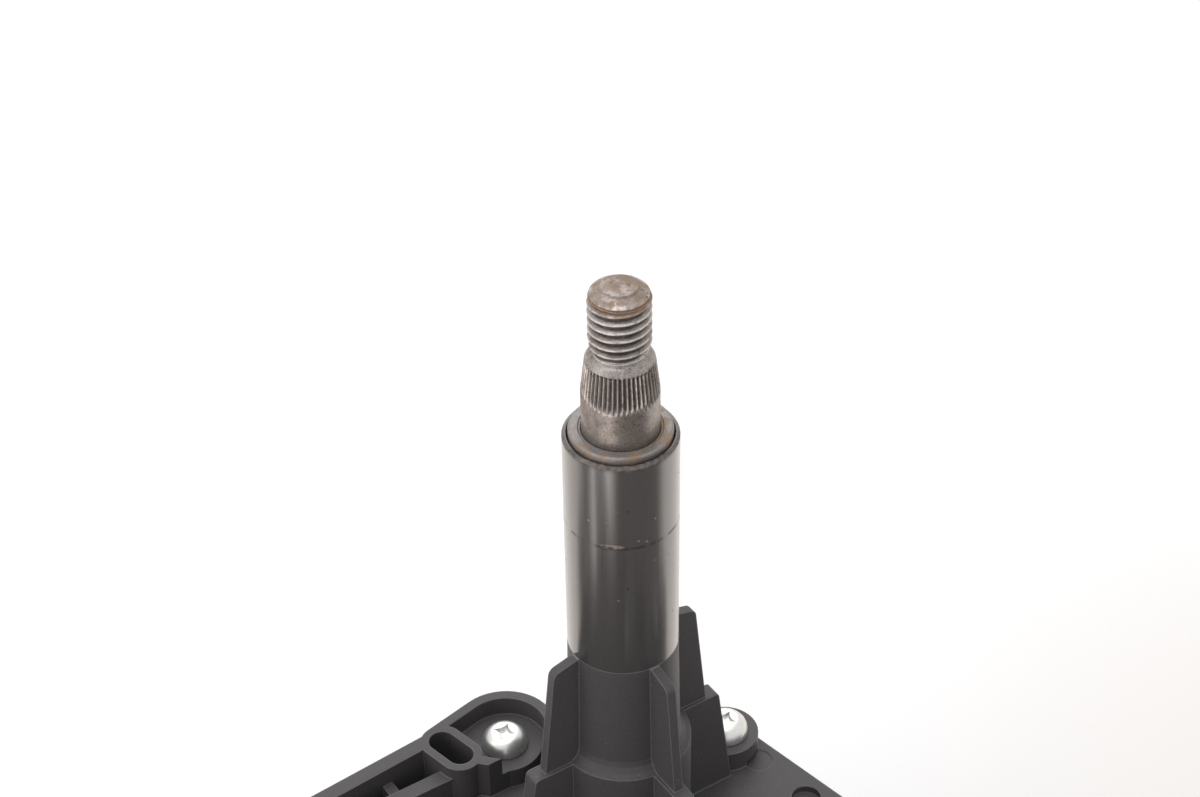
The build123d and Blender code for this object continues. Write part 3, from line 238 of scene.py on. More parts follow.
housingLook = {
    "colour": (0.098, 0.092, 0.096), "dark": 0.86, "rough": 0.52, "roughSpread": 0.08, "edge": 0.30,
    "edgeColour": (0.30, 0.292, 0.288), "edgeAmount": 0.7, "patchScale": 45.0, "speckScale": 1300.0,
    "cover": 0.06, "grime": (0.30, 0.27, 0.23), "grimeAmount": 0.22, "grainDepth": 0.012, "specular": 0.32,
    "tubeFrom": 70.5, "tubeReach": 8.0, "tubeColour": (0.054, 0.049, 0.048), "tubeRough": (0.28, 0.39),
    "coatRough": 0.22, "coatIor": 2.1, "markRough": 0.4, "coatLoss": 0.8, "rimCoatLoss": 0.8,
    "noiseDetail": 4.0, "streakScale": 520.0, "streakStretch": 0.035, "streakRange": (0.48, 0.78),
    "streakAmount": 0.35, "streakColour": (0.075, 0.066, 0.058), "roughRange": (0.3, 0.8),
    "ringHeight": 92.3, "ringWidth": (0.30, 0.05), "ringBreaks": (0.36, 0.52), "ringAmount": 0.75,
    "ringColour": (0.020, 0.018, 0.017),
    "partingWidth": (0.09, 0.027), "partingAmount": 0.6, "partingHighlight": (0.30, 0.29, 0.28),
    "fineScale": 1500.0, "rimFade": (104.5, 105.35), "rimBreaks": (0.47, 0.60), "rimAmount": 0.8,
    "rimDirt": (0.20, 0.155, 0.11),
    "crumbScale": 850.0, "crumbRadius": (0.20, 0.08), "crumbHeights": (72.0, 105.6),
    "crumbShare": (0.06, 0.26), "crumbAmount": 0.85, "paleFrom": 0.45, "darkCrumb": (0.018, 0.016, 0.015),
    "paleCrumb": (0.30, 0.26, 0.21),
    "smearAt": (-133.0, 92.6), "smearHalf": (14.23, 0.42), "smearFade": (1.0, 0.15),
    "smearBreaks": (0.40, 0.56), "smearColour": (0.34, 0.29, 0.22)}


def crumbLayer(tree, look, place, height, tube):
    # sparse pits and crumbs, thickest below the rim
    cellInputs = {"Vector": place, "Scale": look["crumbScale"]}
    cells = addNode(tree, "ShaderNodeTexVoronoi", None, cellInputs).outputs
    near = ramp(tree, cells["Distance"], *look["crumbRadius"])
    drawn = addNode(tree, "ShaderNodeSeparateColor", None, {0: cells["Color"]}).outputs
    share = heightRamp(tree, height, *look["crumbHeights"], *look["crumbShare"])
    crumb = times(tree, times(tree, near, tube), mathNode(tree, "LESS_THAN", drawn[0], share))
    pale = mathNode(tree, "GREATER_THAN", drawn[1], look["paleFrom"])
    return crumb, blendColour(tree, pale, look["darkCrumb"], look["paleCrumb"])


def smearMask(tree, look, split, breaks, tube):
    # one pale smear on the ring, an ellipse broken by noise
    bearingAt, heightAt = look["smearAt"]
    halfArc, halfHeight = look["smearHalf"]
    bearing = mathNode(tree, "ARCTAN2", split[1], split[0])
    aside = mathNode(tree, "SUBTRACT", bearing, math.radians(bearingAt))
    aside = mathNode(tree, "DIVIDE", aside, math.radians(halfArc))
    below = mathNode(tree, "SUBTRACT", split[2], heightAt * mm)
    below = mathNode(tree, "DIVIDE", below, halfHeight * mm)
    spread = mathNode(tree, "ADD", times(tree, aside, aside), times(tree, below, below))
    return times(tree, times(tree, ramp(tree, spread, *look["smearFade"]), breaks), tube)


def makeHousingFinish(look):
    # matte moulded walls, and above the fins a tube polished by handling and streaked with dirt
    parts = startFinish("mouldedHousing", look)
    tree, place, shader = parts["tree"], parts["place"], parts["shader"]
    split = addNode(tree, "ShaderNodeSeparateXYZ", None, {0: place}).outputs
    height = split[2]
    across = addNode(tree, "ShaderNodeCombineXYZ", None, {0: split[0], 1: split[1]}).outputs[0]
    radius = addNode(tree, "ShaderNodeVectorMath", {"operation": "LENGTH"}, {0: across}).outputs["Value"]
    within = mathNode(tree, "LESS_THAN", radius, look["tubeReach"] * mm)
    tube = times(tree, mathNode(tree, "GREATER_THAN", height, look["tubeFrom"] * mm), within)
    stretch = {"Vector": place, "Scale": (1.0, 1.0, look["streakStretch"])}
    stretched = addNode(tree, "ShaderNodeMapping", None, stretch).outputs[0]
    streaks = noise(tree, stretched, look["streakScale"], look["noiseDetail"])
    fine = noise(tree, place, look["fineScale"], look["noiseDetail"])
    streak = times(tree, ramp(tree, streaks, *look["streakRange"]), tube)
    # the ring left by a seal, a painted highlight along the parting line over the fins, and the dirty rim
    ring = times(tree, heightBand(tree, height, look["ringHeight"], *look["ringWidth"]),
                 ramp(tree, streaks, *look["ringBreaks"]))
    ring = times(tree, ring, times(tree, tube, look["ringAmount"]))
    # a pale line at the parting line: a painted highlight
    parting = times(tree, heightBand(tree, height, look["tubeFrom"], *look["partingWidth"]), within)
    nearRim = times(tree, heightRamp(tree, height, *look["rimFade"]), tube)
    rim = times(tree, nearRim, ramp(tree, fine, *look["rimBreaks"]))
    crumb, crumbColour = crumbLayer(tree, look, place, height, tube)
    smear = smearMask(tree, look, split, ramp(tree, fine, *look["smearBreaks"]), tube)
    parts["colour"] = layColours(tree, parts["colour"], [
        (tube, 1.0, look["tubeColour"]), (streak, look["streakAmount"], look["streakColour"]),
        (ring, 1.0, look["ringColour"]), (parting, look["partingAmount"], look["partingHighlight"]),
        (rim, look["rimAmount"], look["rimDirt"]), (crumb, look["crumbAmount"], crumbColour),
        (smear, 1.0, look["smearColour"])])
    # the marks are dull and break the polish
    marks = larger(tree, larger(tree, ring, crumb), larger(tree, rim, smear))
    tubeRough = ramp(tree, streaks, *look["roughRange"], *look["tubeRough"])
    rough = blendValue(tree, tube, parts["rough"], tubeRough)
    parts["rough"] = mathNode(tree, "ADD", rough, times(tree, marks, look["markRough"]), clamp=True)
    dull = larger(tree, marks, times(tree, nearRim, look["rimCoatLoss"]))
    coat = mathNode(tree, "SUBTRACT", tube, times(tree, dull, look["coatLoss"]), clamp=True)
    tree.links.new(coat, shader.inputs["Coat Weight"])
    shader.inputs["Coat Roughness"].default_value = look["coatRough"]
    shader.inputs["Coat IOR"].default_value = look["coatIor"]
    return endFinish(parts)


spindleLook = {
    "colour": (0.42, 0.38, 0.36), "dark": 0.60, "metal": 0.75, "rough": 0.36, "roughSpread": 0.18,
    "edge": 0.09, "edgeColour": (0.80, 0.76, 0.73), "edgeAmount": 0.6, "patchScale": 260.0,
    "speckScale": 1900.0, "cover": 0.30, "grime": (0.15, 0.105, 0.07), "grimeAmount": 0.5, "grainDepth": 0.03,
    "mottleScale": 620.0, "mottleDetail": 6.0, "flakeScale": 1500.0, "flakeDetail": 5.0,
    "noiseRoughness": 0.7, "shadeSamples": 8, "sootReach": 0.9, "sootShade": (0.66, 0.32),
    "sootRelief": (0.46, 0.10), "sootBreaks": (0.22, 0.44),
    "sootAmount": 0.85, "sootAndShade": (0.040, 0.037, 0.037),
    "crestRelief": (0.62, 0.95), "crestBreaks": (0.70, 0.42), "crestAmount": 0.6, "crest": (0.86, 0.80, 0.76),
    "rustHeights": (124.9, 126.3), "rustBreaks": (0.30, 0.62), "rustAmount": 0.72,
    "rust": (0.30, 0.205, 0.135),
    "warmRise": (125.9, 126.25), "warmFall": (126.9, 126.65), "warmBreaks": (0.40, 0.60), "warmAmount": 0.8,
    "warm": (0.40, 0.215, 0.11),
    "gritHeights": (108.5, 111.5), "gritShare": (0.25, 1.0), "darkFlakes": (0.44, 0.32),
    "darkAmount": 0.75, "darkGrit": (0.085, 0.066, 0.052), "paleFlakes": (0.62, 0.72), "paleAmount": 0.7,
    "paleGrit": (0.66, 0.60, 0.54), "sootDull": 0.6, "metalLoss": 0.65, "roughGain": 0.3}


def makeSpindleFinish(look):
    # dark steel, brown with rust toward its end; black grime with painted shade in the thread and knurl
    # valleys, and wear with a painted highlight on their crests
    parts = startFinish("agedSpindle", look)
    tree, place = parts["tree"], parts["place"]
    height = addNode(tree, "ShaderNodeSeparateXYZ", None, {0: place}).outputs[2]
    mottle = noise(tree, place, look["mottleScale"], look["mottleDetail"], look["noiseRoughness"])
    flakes = noise(tree, place, look["flakeScale"], look["flakeDetail"], look["noiseRoughness"])
    # ambient occlusion and the relief darken the valleys: grime together with painted shade
    shading = {"samples": look["shadeSamples"], "only_local": True}
    shaded = addNode(tree, "ShaderNodeAmbientOcclusion", shading,
                     {"Distance": look["sootReach"] * mm}).outputs["AO"]
    relief = addNode(tree, "ShaderNodeAttribute", {"attribute_name": "relief"}).outputs["Fac"]
    valley = times(tree, ramp(tree, relief, *look["sootRelief"]), ramp(tree, mottle, *look["sootBreaks"]))
    sootAndShade = larger(tree, ramp(tree, shaded, *look["sootShade"]), valley)
    # the crests are lightened: wear together with a painted highlight
    crest = times(tree, ramp(tree, relief, *look["crestRelief"]), ramp(tree, mottle, *look["crestBreaks"]))
    rust = times(tree, heightRamp(tree, height, *look["rustHeights"]),
                 ramp(tree, mottle, *look["rustBreaks"]))
    # a rusty band round the lip, and grit on all that stands out of the housing
    warm = times(tree, heightRamp(tree, height, *look["warmRise"]),
                 heightRamp(tree, height, *look["warmFall"]))
    warm = times(tree, warm, ramp(tree, flakes, *look["warmBreaks"]))
    exposed = heightRamp(tree, height, *look["gritHeights"], *look["gritShare"])
    darkGrit = times(tree, ramp(tree, flakes, *look["darkFlakes"]), exposed)
    paleGrit = times(tree, ramp(tree, flakes, *look["paleFlakes"]), exposed)
    parts["colour"] = layColours(tree, parts["colour"], [
        (sootAndShade, look["sootAmount"], look["sootAndShade"]), (crest, look["crestAmount"], look["crest"]),
        (rust, look["rustAmount"], look["rust"]), (warm, look["warmAmount"], look["warm"]),
        (darkGrit, look["darkAmount"], look["darkGrit"]), (paleGrit, look["paleAmount"], look["paleGrit"])])
    dull = larger(tree, rust, times(tree, sootAndShade, look["sootDull"]))
    metal = mathNode(tree, "SUBTRACT", look["metal"], times(tree, dull, look["metalLoss"]), clamp=True)
    tree.links.new(metal, parts["shader"].inputs["Metallic"])
    parts["rough"] = mathNode(tree, "ADD", parts["rough"], times(tree, dull, look["roughGain"]), clamp=True)
    return endFinish(parts)


finishes = {
    "housing_plastic": makeHousingFinish(housingLook),
    "spindle_steel": makeSpindleFinish(spindleLook),
    "cover_plastic": plainFinish("mouldedCover", {
        "colour": (0.034, 0.034, 0.037), "rough": 0.48, "edge": 0.35, "edgeColour": (0.15, 0.15, 0.15),
        "edgeAmount": 0.35, "patchScale": 30.0, "speckScale": 1000.0, "cover": 0.08,
        "grime": (0.26, 0.24, 0.21), "grimeAmount": 0.25, "grainDepth": 0.015}),
    "seal_rubber": plainFinish("sealRubber", {
        "colour": (0.030, 0.029, 0.028), "rough": 0.62, "edge": 0.1, "edgeAmount": 0.1,
        "grime": (0.16, 0.13, 0.10), "grimeAmount": 0.3, "cover": 0.2, "grainDepth": 0.01}),
    "zinc_screw": plainFinish("zincPlate", {
        "colour": (0.80, 0.80, 0.775), "dark": 0.88, "metal": 0.8, "rough": 0.36, "roughSpread": 0.12,
        "edge": 0.06, "edgeColour": (0.92, 0.92, 0.90), "edgeAmount": 0.4, "patchScale": 300.0,
        "speckScale": 2600.0, "cover": 0.10, "grime": (0.42, 0.40, 0.36), "grimeAmount": 0.25,
        "grainDepth": 0.012}),
    "sintered_bronze": plainFinish("sinteredBronze", {
        "colour": (0.50, 0.35, 0.18), "metal": 0.9, "rough": 0.45, "edge": 0.1,
        "edgeColour": (0.7, 0.55, 0.32), "speckScale": 3000.0, "cover": 0.35, "grime": (0.12, 0.08, 0.05),
        "grimeAmount": 0.4, "grainDepth": 0.02}),
    "cap_washer_steel": plainFinish("dirtyWasher", {
        "colour": (0.30, 0.282, 0.272), "dark": 0.62, "metal": 0.45, "rough": 0.42, "roughSpread": 0.25,
        "edge": 0.12, "edgeColour": (0.74, 0.70, 0.66), "edgeAmount": 0.7, "patchScale": 420.0,
        "speckScale": 2400.0, "cover": 0.27, "grime": (0.34, 0.225, 0.135), "grimeAmount": 0.75,
        "grainDepth": 0.05}),
    "spring_steel": plainFinish("springSteel", {
        "colour": (0.42, 0.43, 0.45), "metal": 1.0, "rough": 0.32, "edge": 0.06,
        "edgeColour": (0.6, 0.6, 0.6)}),
    "gear_steel": plainFinish("groundSteel", {
        "colour": (0.52, 0.52, 0.53), "metal": 1.0, "rough": 0.28, "edge": 0.1,
        "edgeColour": (0.8, 0.8, 0.8), "cover": 0.15, "grime": (0.10, 0.07, 0.03), "grimeAmount": 0.5,
        "grainDepth": 0.006}),
    "wheel_plastic": plainFinish("acetalWheel", {
        "colour": (0.80, 0.77, 0.68), "dark": 0.95, "rough": 0.35, "edge": 0.15,
        "edgeColour": (0.9, 0.88, 0.82), "cover": 0.2, "grime": (0.40, 0.30, 0.14), "grimeAmount": 0.35,
        "grainDepth": 0.006}),
    "copper": plainFinish("copperWire", {
        "colour": (0.62, 0.27, 0.13), "metal": 1.0, "rough": 0.30, "edge": 0.08,
        "edgeColour": (0.85, 0.5, 0.3)}),
    "contact_board": plainFinish("phenolicBoard", {
        "colour": (0.20, 0.105, 0.05), "rough": 0.5, "edge": 0.1, "edgeColour": (0.3, 0.18, 0.1)}),
    "connector_plastic": plainFinish("connectorPlastic", {
        "colour": (0.045, 0.046, 0.050), "rough": 0.42, "edge": 0.25, "edgeColour": (0.16, 0.16, 0.16),
        "edgeAmount": 0.35, "cover": 0.06, "grime": (0.28, 0.26, 0.23), "grimeAmount": 0.2,
        "grainDepth": 0.01}),
    "tinned_brass": plainFinish("tinnedBrass", {
        "colour": (0.78, 0.76, 0.70), "metal": 1.0, "rough": 0.25, "edge": 0.06,
        "edgeColour": (0.9, 0.8, 0.6)}),
    "can_steel": plainFinish("zincedCan", {
        "colour": (0.36, 0.365, 0.375), "dark": 0.85, "metal": 0.9, "rough": 0.42, "roughSpread": 0.15,
        "edge": 0.4, "edgeColour": (0.70, 0.70, 0.69), "edgeAmount": 0.5, "patchScale": 90.0,
        "speckScale": 700.0, "cover": 0.12, "grime": (0.26, 0.20, 0.14), "grimeAmount": 0.35,
        "grainDepth": 0.02}),
    "ferrite": plainFinish("ferriteGrey", {
        "colour": (0.11, 0.11, 0.12), "rough": 0.55, "edge": 0.15, "edgeColour": (0.25, 0.25, 0.25)}),
    "core_steel": plainFinish("laminatedCore", {
        "colour": (0.33, 0.33, 0.34), "metal": 0.9, "rough": 0.42, "edge": 0.08,
        "edgeColour": (0.5, 0.5, 0.5), "grainDepth": 0.03}),
    "carbon": plainFinish("carbonBrush", {
        "colour": (0.06, 0.06, 0.062), "rough": 0.6, "edge": 0.1, "edgeColour": (0.15, 0.15, 0.15)}),
    "grommet_rubber": plainFinish("grommetRubber", {
        "colour": (0.028, 0.028, 0.029), "rough": 0.68, "edge": 0.5, "edgeColour": (0.09, 0.09, 0.09),
        "edgeAmount": 0.3, "cover": 0.14, "grime": (0.25, 0.23, 0.20), "grimeAmount": 0.3,
        "grainDepth": 0.012}),
    "zinc_sleeve": plainFinish("zincSleeve", {
        "colour": (0.70, 0.70, 0.68), "metal": 1.0, "rough": 0.30, "edge": 0.15,
        "edgeColour": (0.85, 0.85, 0.82), "cover": 0.12, "grime": (0.30, 0.24, 0.16), "grimeAmount": 0.3}),
}
print("finishes made:", len(finishes))

nodeSlots = {node["node"]: node["material_slot"] for node in frame["record"]["subparts"]}
for name, item in nodes.items():
    item.data.materials.clear()
    item.data.materials.append(finishes[nodeSlots[name]])


# turned pieces

def turnProfile(points, steps, extraRows=()):
    # spins a half section in millimetres about Z; extraRows lists an edge's number and its added rows
    mesh = bmesh.new()
    verts = [mesh.verts.new((r * mm, 0.0, z * mm)) for r, z in points]
    edges = [mesh.edges.new(pair) for pair in zip(verts, verts[1:])]
    for index, cuts in extraRows:
        bmesh.ops.subdivide_edges(mesh, edges=[edges[index]], cuts=cuts)
    bmesh.ops.spin(mesh, geom=mesh.verts[:] + mesh.edges[:], cent=(0, 0, 0), axis=(0, 0, 1),
                   angle=math.tau, steps=steps, use_merge=True)
    bmesh.ops.remove_doubles(mesh, verts=mesh.verts, dist=1e-6)
    bmesh.ops.recalc_face_normals(mesh, faces=mesh.faces)
    return mesh


def finishPiece(mesh, name, slot, body):
    data = bpy.data.meshes.new(name)
    mesh.to_mesh(data)
    mesh.free()
    piece = bpy.data.objects.new(name, data)
    scene.collection.objects.link(piece)
    data.materials.append(finishes[slot])
    data.shade_smooth()
    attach(piece, body)
    return piece


def unit(value):
    return min(1.0, max(0.0, value))


# profiles hold radius and height above coneTopZ, threadZ, lipZ or discZ
spindleShape = {
    "foot": 20.2, "chamfer": 0.5, "shaft": 5.0, "clipZ": 21.4, "clipWidth": 0.9, "clipDepth": 0.6,
    "coneZ": 112.4, "coneTop": 4.45, "coneLength": 4.7, "shaftRows": (2.4, 1.2),
    "shoulder": [(4.0, 0.75), (3.47, 1.0)],
    "threadZ": 119.8, "runOut": [(3.49, -1.55), (4.0, 0.15)], "threadStart": 1.6, "threadEnd": 0.5,
    "neck": 3.35, "crest": 4.0, "pitch": 1.25, "phase": 0.463, "crestFlat": 0.10, "flankShare": 0.72,
    "lipZ": 126.95, "lip": [(4.0, -0.75), (3.86, -0.42), (3.64, -0.34), (3.76, -0.12), (3.66, 0.0)],
    "discZ": 127.9, "disc": [(2.77, -0.50), (2.45, -0.34), (2.35, -0.08), (2.27, 0.0)],
    "lipInner": 3.63, "lipBand": 0.13,
    "teeth": 48, "toothDepth": 0.36, "stepsPerTooth": 8, "toothFlank": 0.36, "toothFlat": 0.14,
    "toothFade": (0.7, 1.1), "toothEnd": 0.25, "knurlBelow": 1.3, "knurlInner": 4.2, "margin": 0.02,
    "plainRelief": 0.5, "sharpAngle": 38.0,
    # edges from the cone's foot to the thread, and how many rows each gets
    "extraRows": ((8, 8), (9, 14), (10, 3), (13, 20), (14, 60))}


def raised(profile, base):
    return [(radius, base + height) for radius, height in profile]


def threadAt(shape, radius, height, turn):
    # the groove's depth, and a relief of 1 on the crest and 0 in the valley
    s = shape
    place = (height / s["pitch"] - turn + s["phase"]) % 1.0
    flank = unit((abs(2 * place - 1) - s["crestFlat"]) / s["flankShare"])
    return min(flank * (s["crest"] - s["neck"]), radius - s["neck"]), 1.0 - flank


def knurlAt(shape, height, turn, coneTopZ):
    # straight teeth that fade in below the cone and end sharply at its top
    s = shape
    start, length = s["toothFade"]
    tooth = (turn * s["teeth"]) % 1.0
    valley = unit((0.5 - abs(tooth - 0.5)) / s["toothFlank"] - s["toothFlat"])
    present = unit((height - s["coneZ"] + start) / length)
    present *= unit((coneTopZ + s["margin"] - height) / s["toothEnd"])
    return valley * present * s["toothDepth"], s["plainRelief"] + present * (0.5 - valley)


def makeSpindle(shape):
    s = shape
    shaft, cone = s["shaft"], s["coneZ"]
    coneTopZ = cone + s["coneLength"]
    clipTop, clipRadius = s["clipZ"] + s["clipWidth"], shaft - s["clipDepth"]
    points = [
        (0, s["foot"]), (shaft - s["chamfer"], s["foot"]), (shaft, s["foot"] + s["chamfer"]),
        (shaft, s["clipZ"]), (clipRadius, s["clipZ"]), (clipRadius, clipTop), (shaft, clipTop),
        *[(shaft, cone - below) for below in s["shaftRows"]], (shaft, cone), (s["coneTop"], coneTopZ),
        *raised(s["shoulder"], coneTopZ), *raised(s["runOut"], s["threadZ"]), *raised(s["lip"], s["lipZ"]),
        *raised(s["disc"], s["discZ"]), (0, s["discZ"])]
    mesh = turnProfile(points, s["teeth"] * s["stepsPerTooth"], s["extraRows"])
    reliefLayer = mesh.verts.layers.float.new("relief")
    threadFrom, threadTo = s["threadZ"] - s["threadStart"], s["lipZ"] - s["threadEnd"]
    for vert in mesh.verts:
        radius = math.hypot(vert.co.x, vert.co.y) / mm
        turn = math.atan2(vert.co.y, vert.co.x) / math.tau
        height = vert.co.z / mm
        depth, relief = 0.0, s["plainRelief"]
        if threadFrom < height < threadTo and radius > s["neck"]:
            depth, relief = threadAt(s, radius, height, turn)
        elif cone - s["knurlBelow"] < height < coneTopZ + s["margin"] and radius > s["knurlInner"]:
            depth, relief = knurlAt(s, height, turn, coneTopZ)
        # the lip's outer band gets a relief of 1, so it takes the lighter crest colour: a painted highlight
        # along the lip edge
        elif height > s["lipZ"] - s["lipBand"] and radius > s["lipInner"]:
            relief = 1.0
        vert[reliefLayer] = relief
        if depth:
            vert.co.x *= (radius - depth) / radius
            vert.co.y *= (radius - depth) / radius
    piece = finishPiece(mesh, "turnedSpindle", "spindle_steel", "spindle")
    piece.data.set_sharp_from_angle(angle=math.radians(s["sharpAngle"]))
    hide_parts("spindle")


makeSpindle(spindleShape)
print("spindle made")

greaseShape = {"inner": 5.06, "outer": 5.34, "low": 105.2, "high": 106.18, "outerRise": 0.12, "steps": 96}


def makeGrease(shape):
    # dried grease that fills most of the gap between the shaft and the cap washer
    inner, outer, low, high = (shape[key] for key in ("inner", "outer", "low", "high"))
    points = [(inner, low), (outer, low), (outer, high + shape["outerRise"]), (inner, high), (inner, low)]
    finishPiece(turnProfile(points, shape["steps"]), "driedGrease", "cap_washer_steel", "housing")


makeGrease(greaseShape)
print("grease made")

screwShape = {
    "places": [(-7.9, 19.7), (20.2, 3.9), (27.8, -44.0), (-22.0, -44.5), (-58.5, 17.6)], "seat": 37.4,
    "turns": [40, 31, 52, 75, 20], "steps": 96, "shank": 1.5, "length": 16.0,
    "tipLength": 1.2, "tipRadius": 0.25, "crown": 2.6, "crownRows": 26,
    "headProfile": [(1.9, 2.5), (2.35, 2.28), (2.75, 1.95), (3.08, 1.5), (3.28, 1.0), (3.35, 0.6),
                    (3.35, 0.12), (3.23, 0.0)],
    "slotFrom": 2.45, "slotReach": 1.75, "slotPower": 0.62, "slotSlope": 0.26, "slotDepth": 0.6,
    "sharpAngle": 35.0,
    "canFace": -72.6, "canAxisY": -29.885, "canAxisZ": 19.5, "canLugs": 23.5, "canLength": 7.1, "canTurn": 40}


def makeScrewMesh(shape, length, turn):
    # smooth pan head with a recess whose outline is a four pointed star
    points = [(0, shape["crown"]), *shape["headProfile"], (shape["shank"], 0.0),
              (shape["shank"], shape["tipLength"] - length), (shape["tipRadius"], -length), (0, -length)]
    mesh = turnProfile(points, shape["steps"], ((0, shape["crownRows"]),))
    cosTurn, sinTurn = math.cos(math.radians(turn)), math.sin(math.radians(turn))
    power = shape["slotPower"]
    for vert in mesh.verts:
        if vert.co.z > shape["slotFrom"] * mm:
            x = (vert.co.x * cosTurn + vert.co.y * sinTurn) / mm
            y = (vert.co.y * cosTurn - vert.co.x * sinTurn) / mm
            spread = (abs(x) ** power + abs(y) ** power) ** (1 / power)
            sunk = unit((shape["slotReach"] - spread) / shape["slotSlope"])
            vert.co.z -= sunk * shape["slotDepth"] * mm
    return mesh


def joinMeshes(meshes):
    whole = bmesh.new()
    for mesh in meshes:
        data = bpy.data.meshes.new("part")
        mesh.to_mesh(data)
        mesh.free()
        whole.from_mesh(data)
        bpy.data.meshes.remove(data)
    return whole


def finishScrews(meshes, name, node, sharpAngle):
    piece = finishPiece(joinMeshes(meshes), name, "zinc_screw", "housing")
    piece.data.set_sharp_from_angle(angle=math.radians(sharpAngle))
    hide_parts(node)


def makeScrews(shape):
    cover = []
    for (x, y), turn in zip(shape["places"], shape["turns"]):
        mesh = makeScrewMesh(shape, shape["length"], turn)
        bmesh.ops.translate(mesh, verts=mesh.verts, vec=Vector((x, y, shape["seat"])) * mm)
        cover.append(mesh)
    finishScrews(cover, "crossHeadScrews", "cover_screws", shape["sharpAngle"])
    # the can's two screws lie along X
    can = []
    lying = Matrix.Rotation(-math.pi / 2, 3, "Y")
    for side in (-1, 1):
        mesh = makeScrewMesh(shape, shape["canLength"], shape["canTurn"] * side)
        bmesh.ops.rotate(mesh, verts=mesh.verts, cent=(0, 0, 0), matrix=lying)
        at = Vector((shape["canFace"], shape["canAxisY"] + side * shape["canLugs"], shape["canAxisZ"]))
        bmesh.ops.translate(mesh, verts=mesh.verts, vec=at * mm)
        can.append(mesh)
    finishScrews(can, "canScrewHeads", "can_screws", shape["sharpAngle"])


makeScrews(screwShape)
print("screws made")


# studio: camera place in millimetres, the rest in metres, angles in degrees

cameraSet = {"place": (-134.4, -205.3, 302.9), "heading": 57.38, "pitch": 38.07, "roll": -1.0,
             "lens": 75.33, "sensor": 36.0, "clip": (0.01, 20.0)}

studio = {
    "floorSize": 3.0, "floorColour": (0.93, 0.905, 0.89), "floorRough": 0.8, "floorSpecular": 0.1,
    "glowColour": (1.0, 0.935, 0.88), "darkFloor": 0.26, "brightFloor": 1.2, "openSide": (70.0, 90.0),
    "streakAt": -38.0, "streakEdges": (32.0, 8.0), "streakLevel": 3.0,
    "paperGlow": (0.20, 0.22, 0.24), "warmGlow": (0.10, 0.085, 0.07), "warmSpot": (0.12, -0.04, 0.0),
    "warmRadius": 0.11, "farGlow": (1.0, 1.0, 1.0), "farRange": (0.35, 1.0),
    "worldColour": (1.0, 1.0, 1.0), "worldLevel": 0.46, "seenLevel": 1.0,
    "lamps": [
        # name, place, aim, size, watts
        ("overheadPanel", (-0.10, 0.10, 0.95), (0.0, 0.0, 0.05), 0.70, 3.4),
        ("backPanel", (0.50, 0.75, 0.60), (0.0, 0.0, 0.06), 0.60, 2.2),
        ("sidePanel", (-0.80, 0.15, 0.45), (0.0, 0.0, 0.06), 0.50, 1.2)]}


def glossyLevel(tree, look, place, heading):
    # what polished faces see: bright paper behind and beside, a dim room with one lit strip in front
    turned = addNode(tree, "ShaderNodeMapping", {"vector_type": "POINT"},
                     {"Vector": place, "Rotation": (0.0, 0.0, math.radians(180 - heading))})
    split = addNode(tree, "ShaderNodeSeparateXYZ", None, {0: turned.outputs[0]}).outputs
    bearing = mathNode(tree, "ARCTAN2", split[1], split[0])
    away = mathNode(tree, "ABSOLUTE", bearing)
    openSide = [math.radians(angle) for angle in look["openSide"]]
    level = ramp(tree, away, *openSide, look["darkFloor"], look["brightFloor"])
    streak = mathNode(tree, "SUBTRACT", bearing, math.radians(look["streakAt"]))
    streakEdges = [math.radians(angle) for angle in look["streakEdges"]]
    lit = ramp(tree, mathNode(tree, "ABSOLUTE", streak), *streakEdges, 0.0, look["streakLevel"])
    return mathNode(tree, "ADD", level, lit)


def paperTint(tree, look, place):
    # the paper seen by the camera: a little warm on one side, and plain white far away
    warm = {0: place, 1: look["warmSpot"]}
    nearWarm = addNode(tree, "ShaderNodeVectorMath", {"operation": "DISTANCE"}, warm).outputs["Value"]
    tint = blendColour(tree, ramp(tree, nearWarm, look["warmRadius"], 0.0), look["paperGlow"],
                       look["warmGlow"])
    span = addNode(tree, "ShaderNodeVectorMath", {"operation": "LENGTH"}, {0: place}).outputs["Value"]
    return blendColour(tree, ramp(tree, span, *look["farRange"]), tint, look["farGlow"])


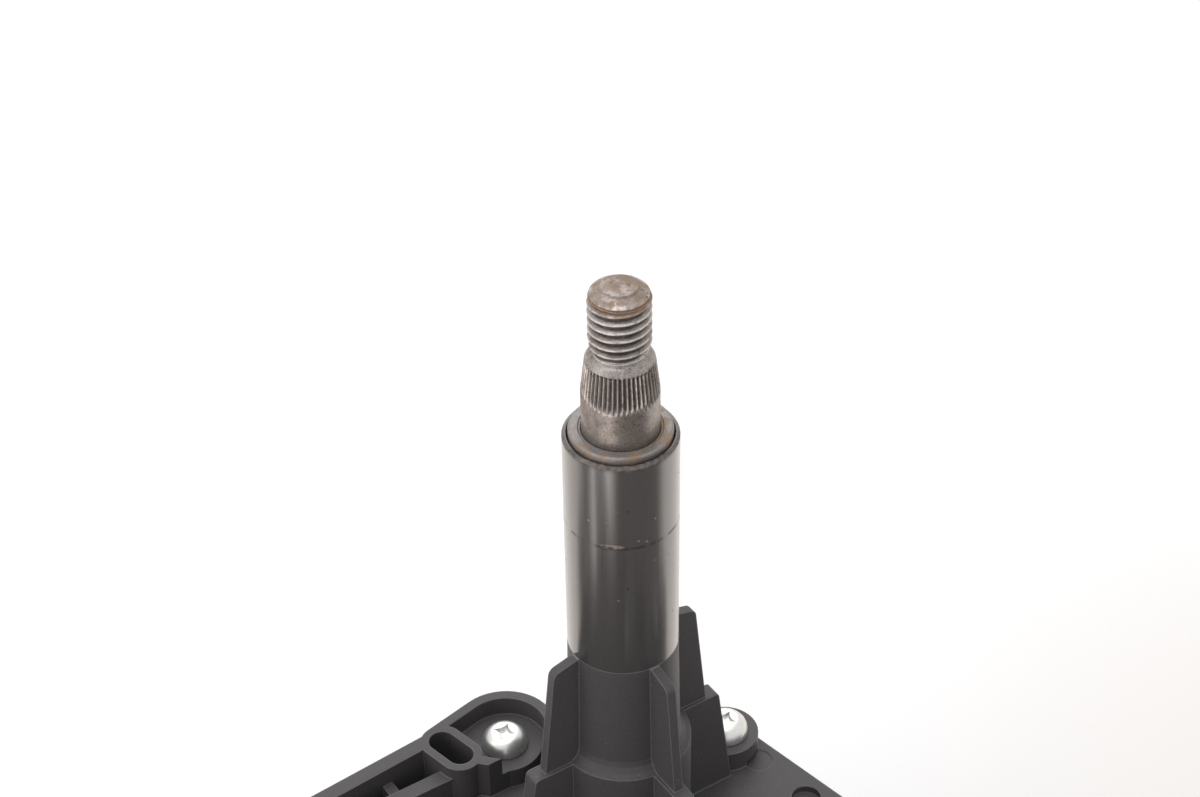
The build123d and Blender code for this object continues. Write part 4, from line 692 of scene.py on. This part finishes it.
def makeFloor(look, heading):
    mesh = bmesh.new()
    bmesh.ops.create_grid(mesh, x_segments=1, y_segments=1, size=look["floorSize"])
    data = bpy.data.meshes.new("studioFloor")
    mesh.to_mesh(data)
    mesh.free()
    floor = bpy.data.objects.new("studioFloor", data)
    scene.collection.objects.link(floor)
    material = bpy.data.materials.new("paleFloor")
    material.use_nodes = True
    tree = material.node_tree
    shader = tree.nodes["Principled BSDF"]
    setInputs(tree, shader, {"Base Color": opaque(look["floorColour"]), "Roughness": look["floorRough"],
                             "Specular IOR Level": look["floorSpecular"]})
    place = addNode(tree, "ShaderNodeTexCoord").outputs["Object"]
    light = addNode(tree, "ShaderNodeLightPath").outputs
    glow = addNode(tree, "ShaderNodeEmission", None, {
        "Color": opaque(look["glowColour"]), "Strength": glossyLevel(tree, look, place, heading)})
    lift = addNode(tree, "ShaderNodeEmission", None, {
        "Color": paperTint(tree, look, place), "Strength": light["Is Camera Ray"]})
    paper = addNode(tree, "ShaderNodeAddShader", None, {0: shader.outputs[0], 1: lift.outputs[0]})
    mixed = addNode(tree, "ShaderNodeMixShader", None,
                    {0: light["Is Glossy Ray"], 1: paper.outputs[0], 2: glow.outputs[0]})
    tree.links.new(mixed.outputs[0], tree.nodes["Material Output"].inputs["Surface"])
    data.materials.append(material)


def makeWorld(look):
    world = bpy.data.worlds.new("studioWorld")
    scene.world = world
    world.use_nodes = True
    tree = world.node_tree
    light = addNode(tree, "ShaderNodeLightPath").outputs
    seen = larger(tree, light["Is Camera Ray"], light["Is Transmission Ray"])
    seen = larger(tree, seen, light["Is Glossy Ray"])
    level = blendValue(tree, seen, look["worldLevel"], look["seenLevel"])
    setInputs(tree, tree.nodes["Background"], {"Color": opaque(look["worldColour"]), "Strength": level})


def makeLamps(look):
    for name, place, aim, size, watts in look["lamps"]:
        lamp = bpy.data.lights.new(name, "AREA")
        lamp.shape = "SQUARE"
        lamp.size = size
        lamp.energy = watts
        item = bpy.data.objects.new(name, lamp)
        item.location = place
        item.rotation_euler = (Vector(aim) - Vector(place)).to_track_quat("-Z", "Y").to_euler()
        scene.collection.objects.link(item)


def makeCamera(look):
    heading, pitch, roll = (math.radians(look[key]) for key in ("heading", "pitch", "roll"))
    level = Vector((math.cos(heading), math.sin(heading), 0.0))
    forward = level * math.cos(pitch) - Vector((0.0, 0.0, math.sin(pitch)))
    right = Vector((math.sin(heading), -math.cos(heading), 0.0))
    up = right.cross(forward)
    rolledRight = right * math.cos(roll) + up * math.sin(roll)
    rolledUp = up * math.cos(roll) - right * math.sin(roll)
    turn = Matrix((rolledRight, rolledUp, -forward)).transposed().to_4x4()
    lens = bpy.data.cameras.new("studioCamera")
    lens.lens = look["lens"]
    lens.sensor_width = look["sensor"]
    lens.sensor_fit = "HORIZONTAL"
    lens.clip_start, lens.clip_end = look["clip"]
    camera = bpy.data.objects.new("studioCamera", lens)
    camera.matrix_world = Matrix.Translation(Vector(look["place"]) * mm) @ turn
    scene.collection.objects.link(camera)
    scene.camera = camera


makeFloor(studio, cameraSet["heading"])
makeWorld(studio)
makeLamps(studio)
makeCamera(cameraSet)
scene.view_settings.view_transform = "Standard"
print("studio made")
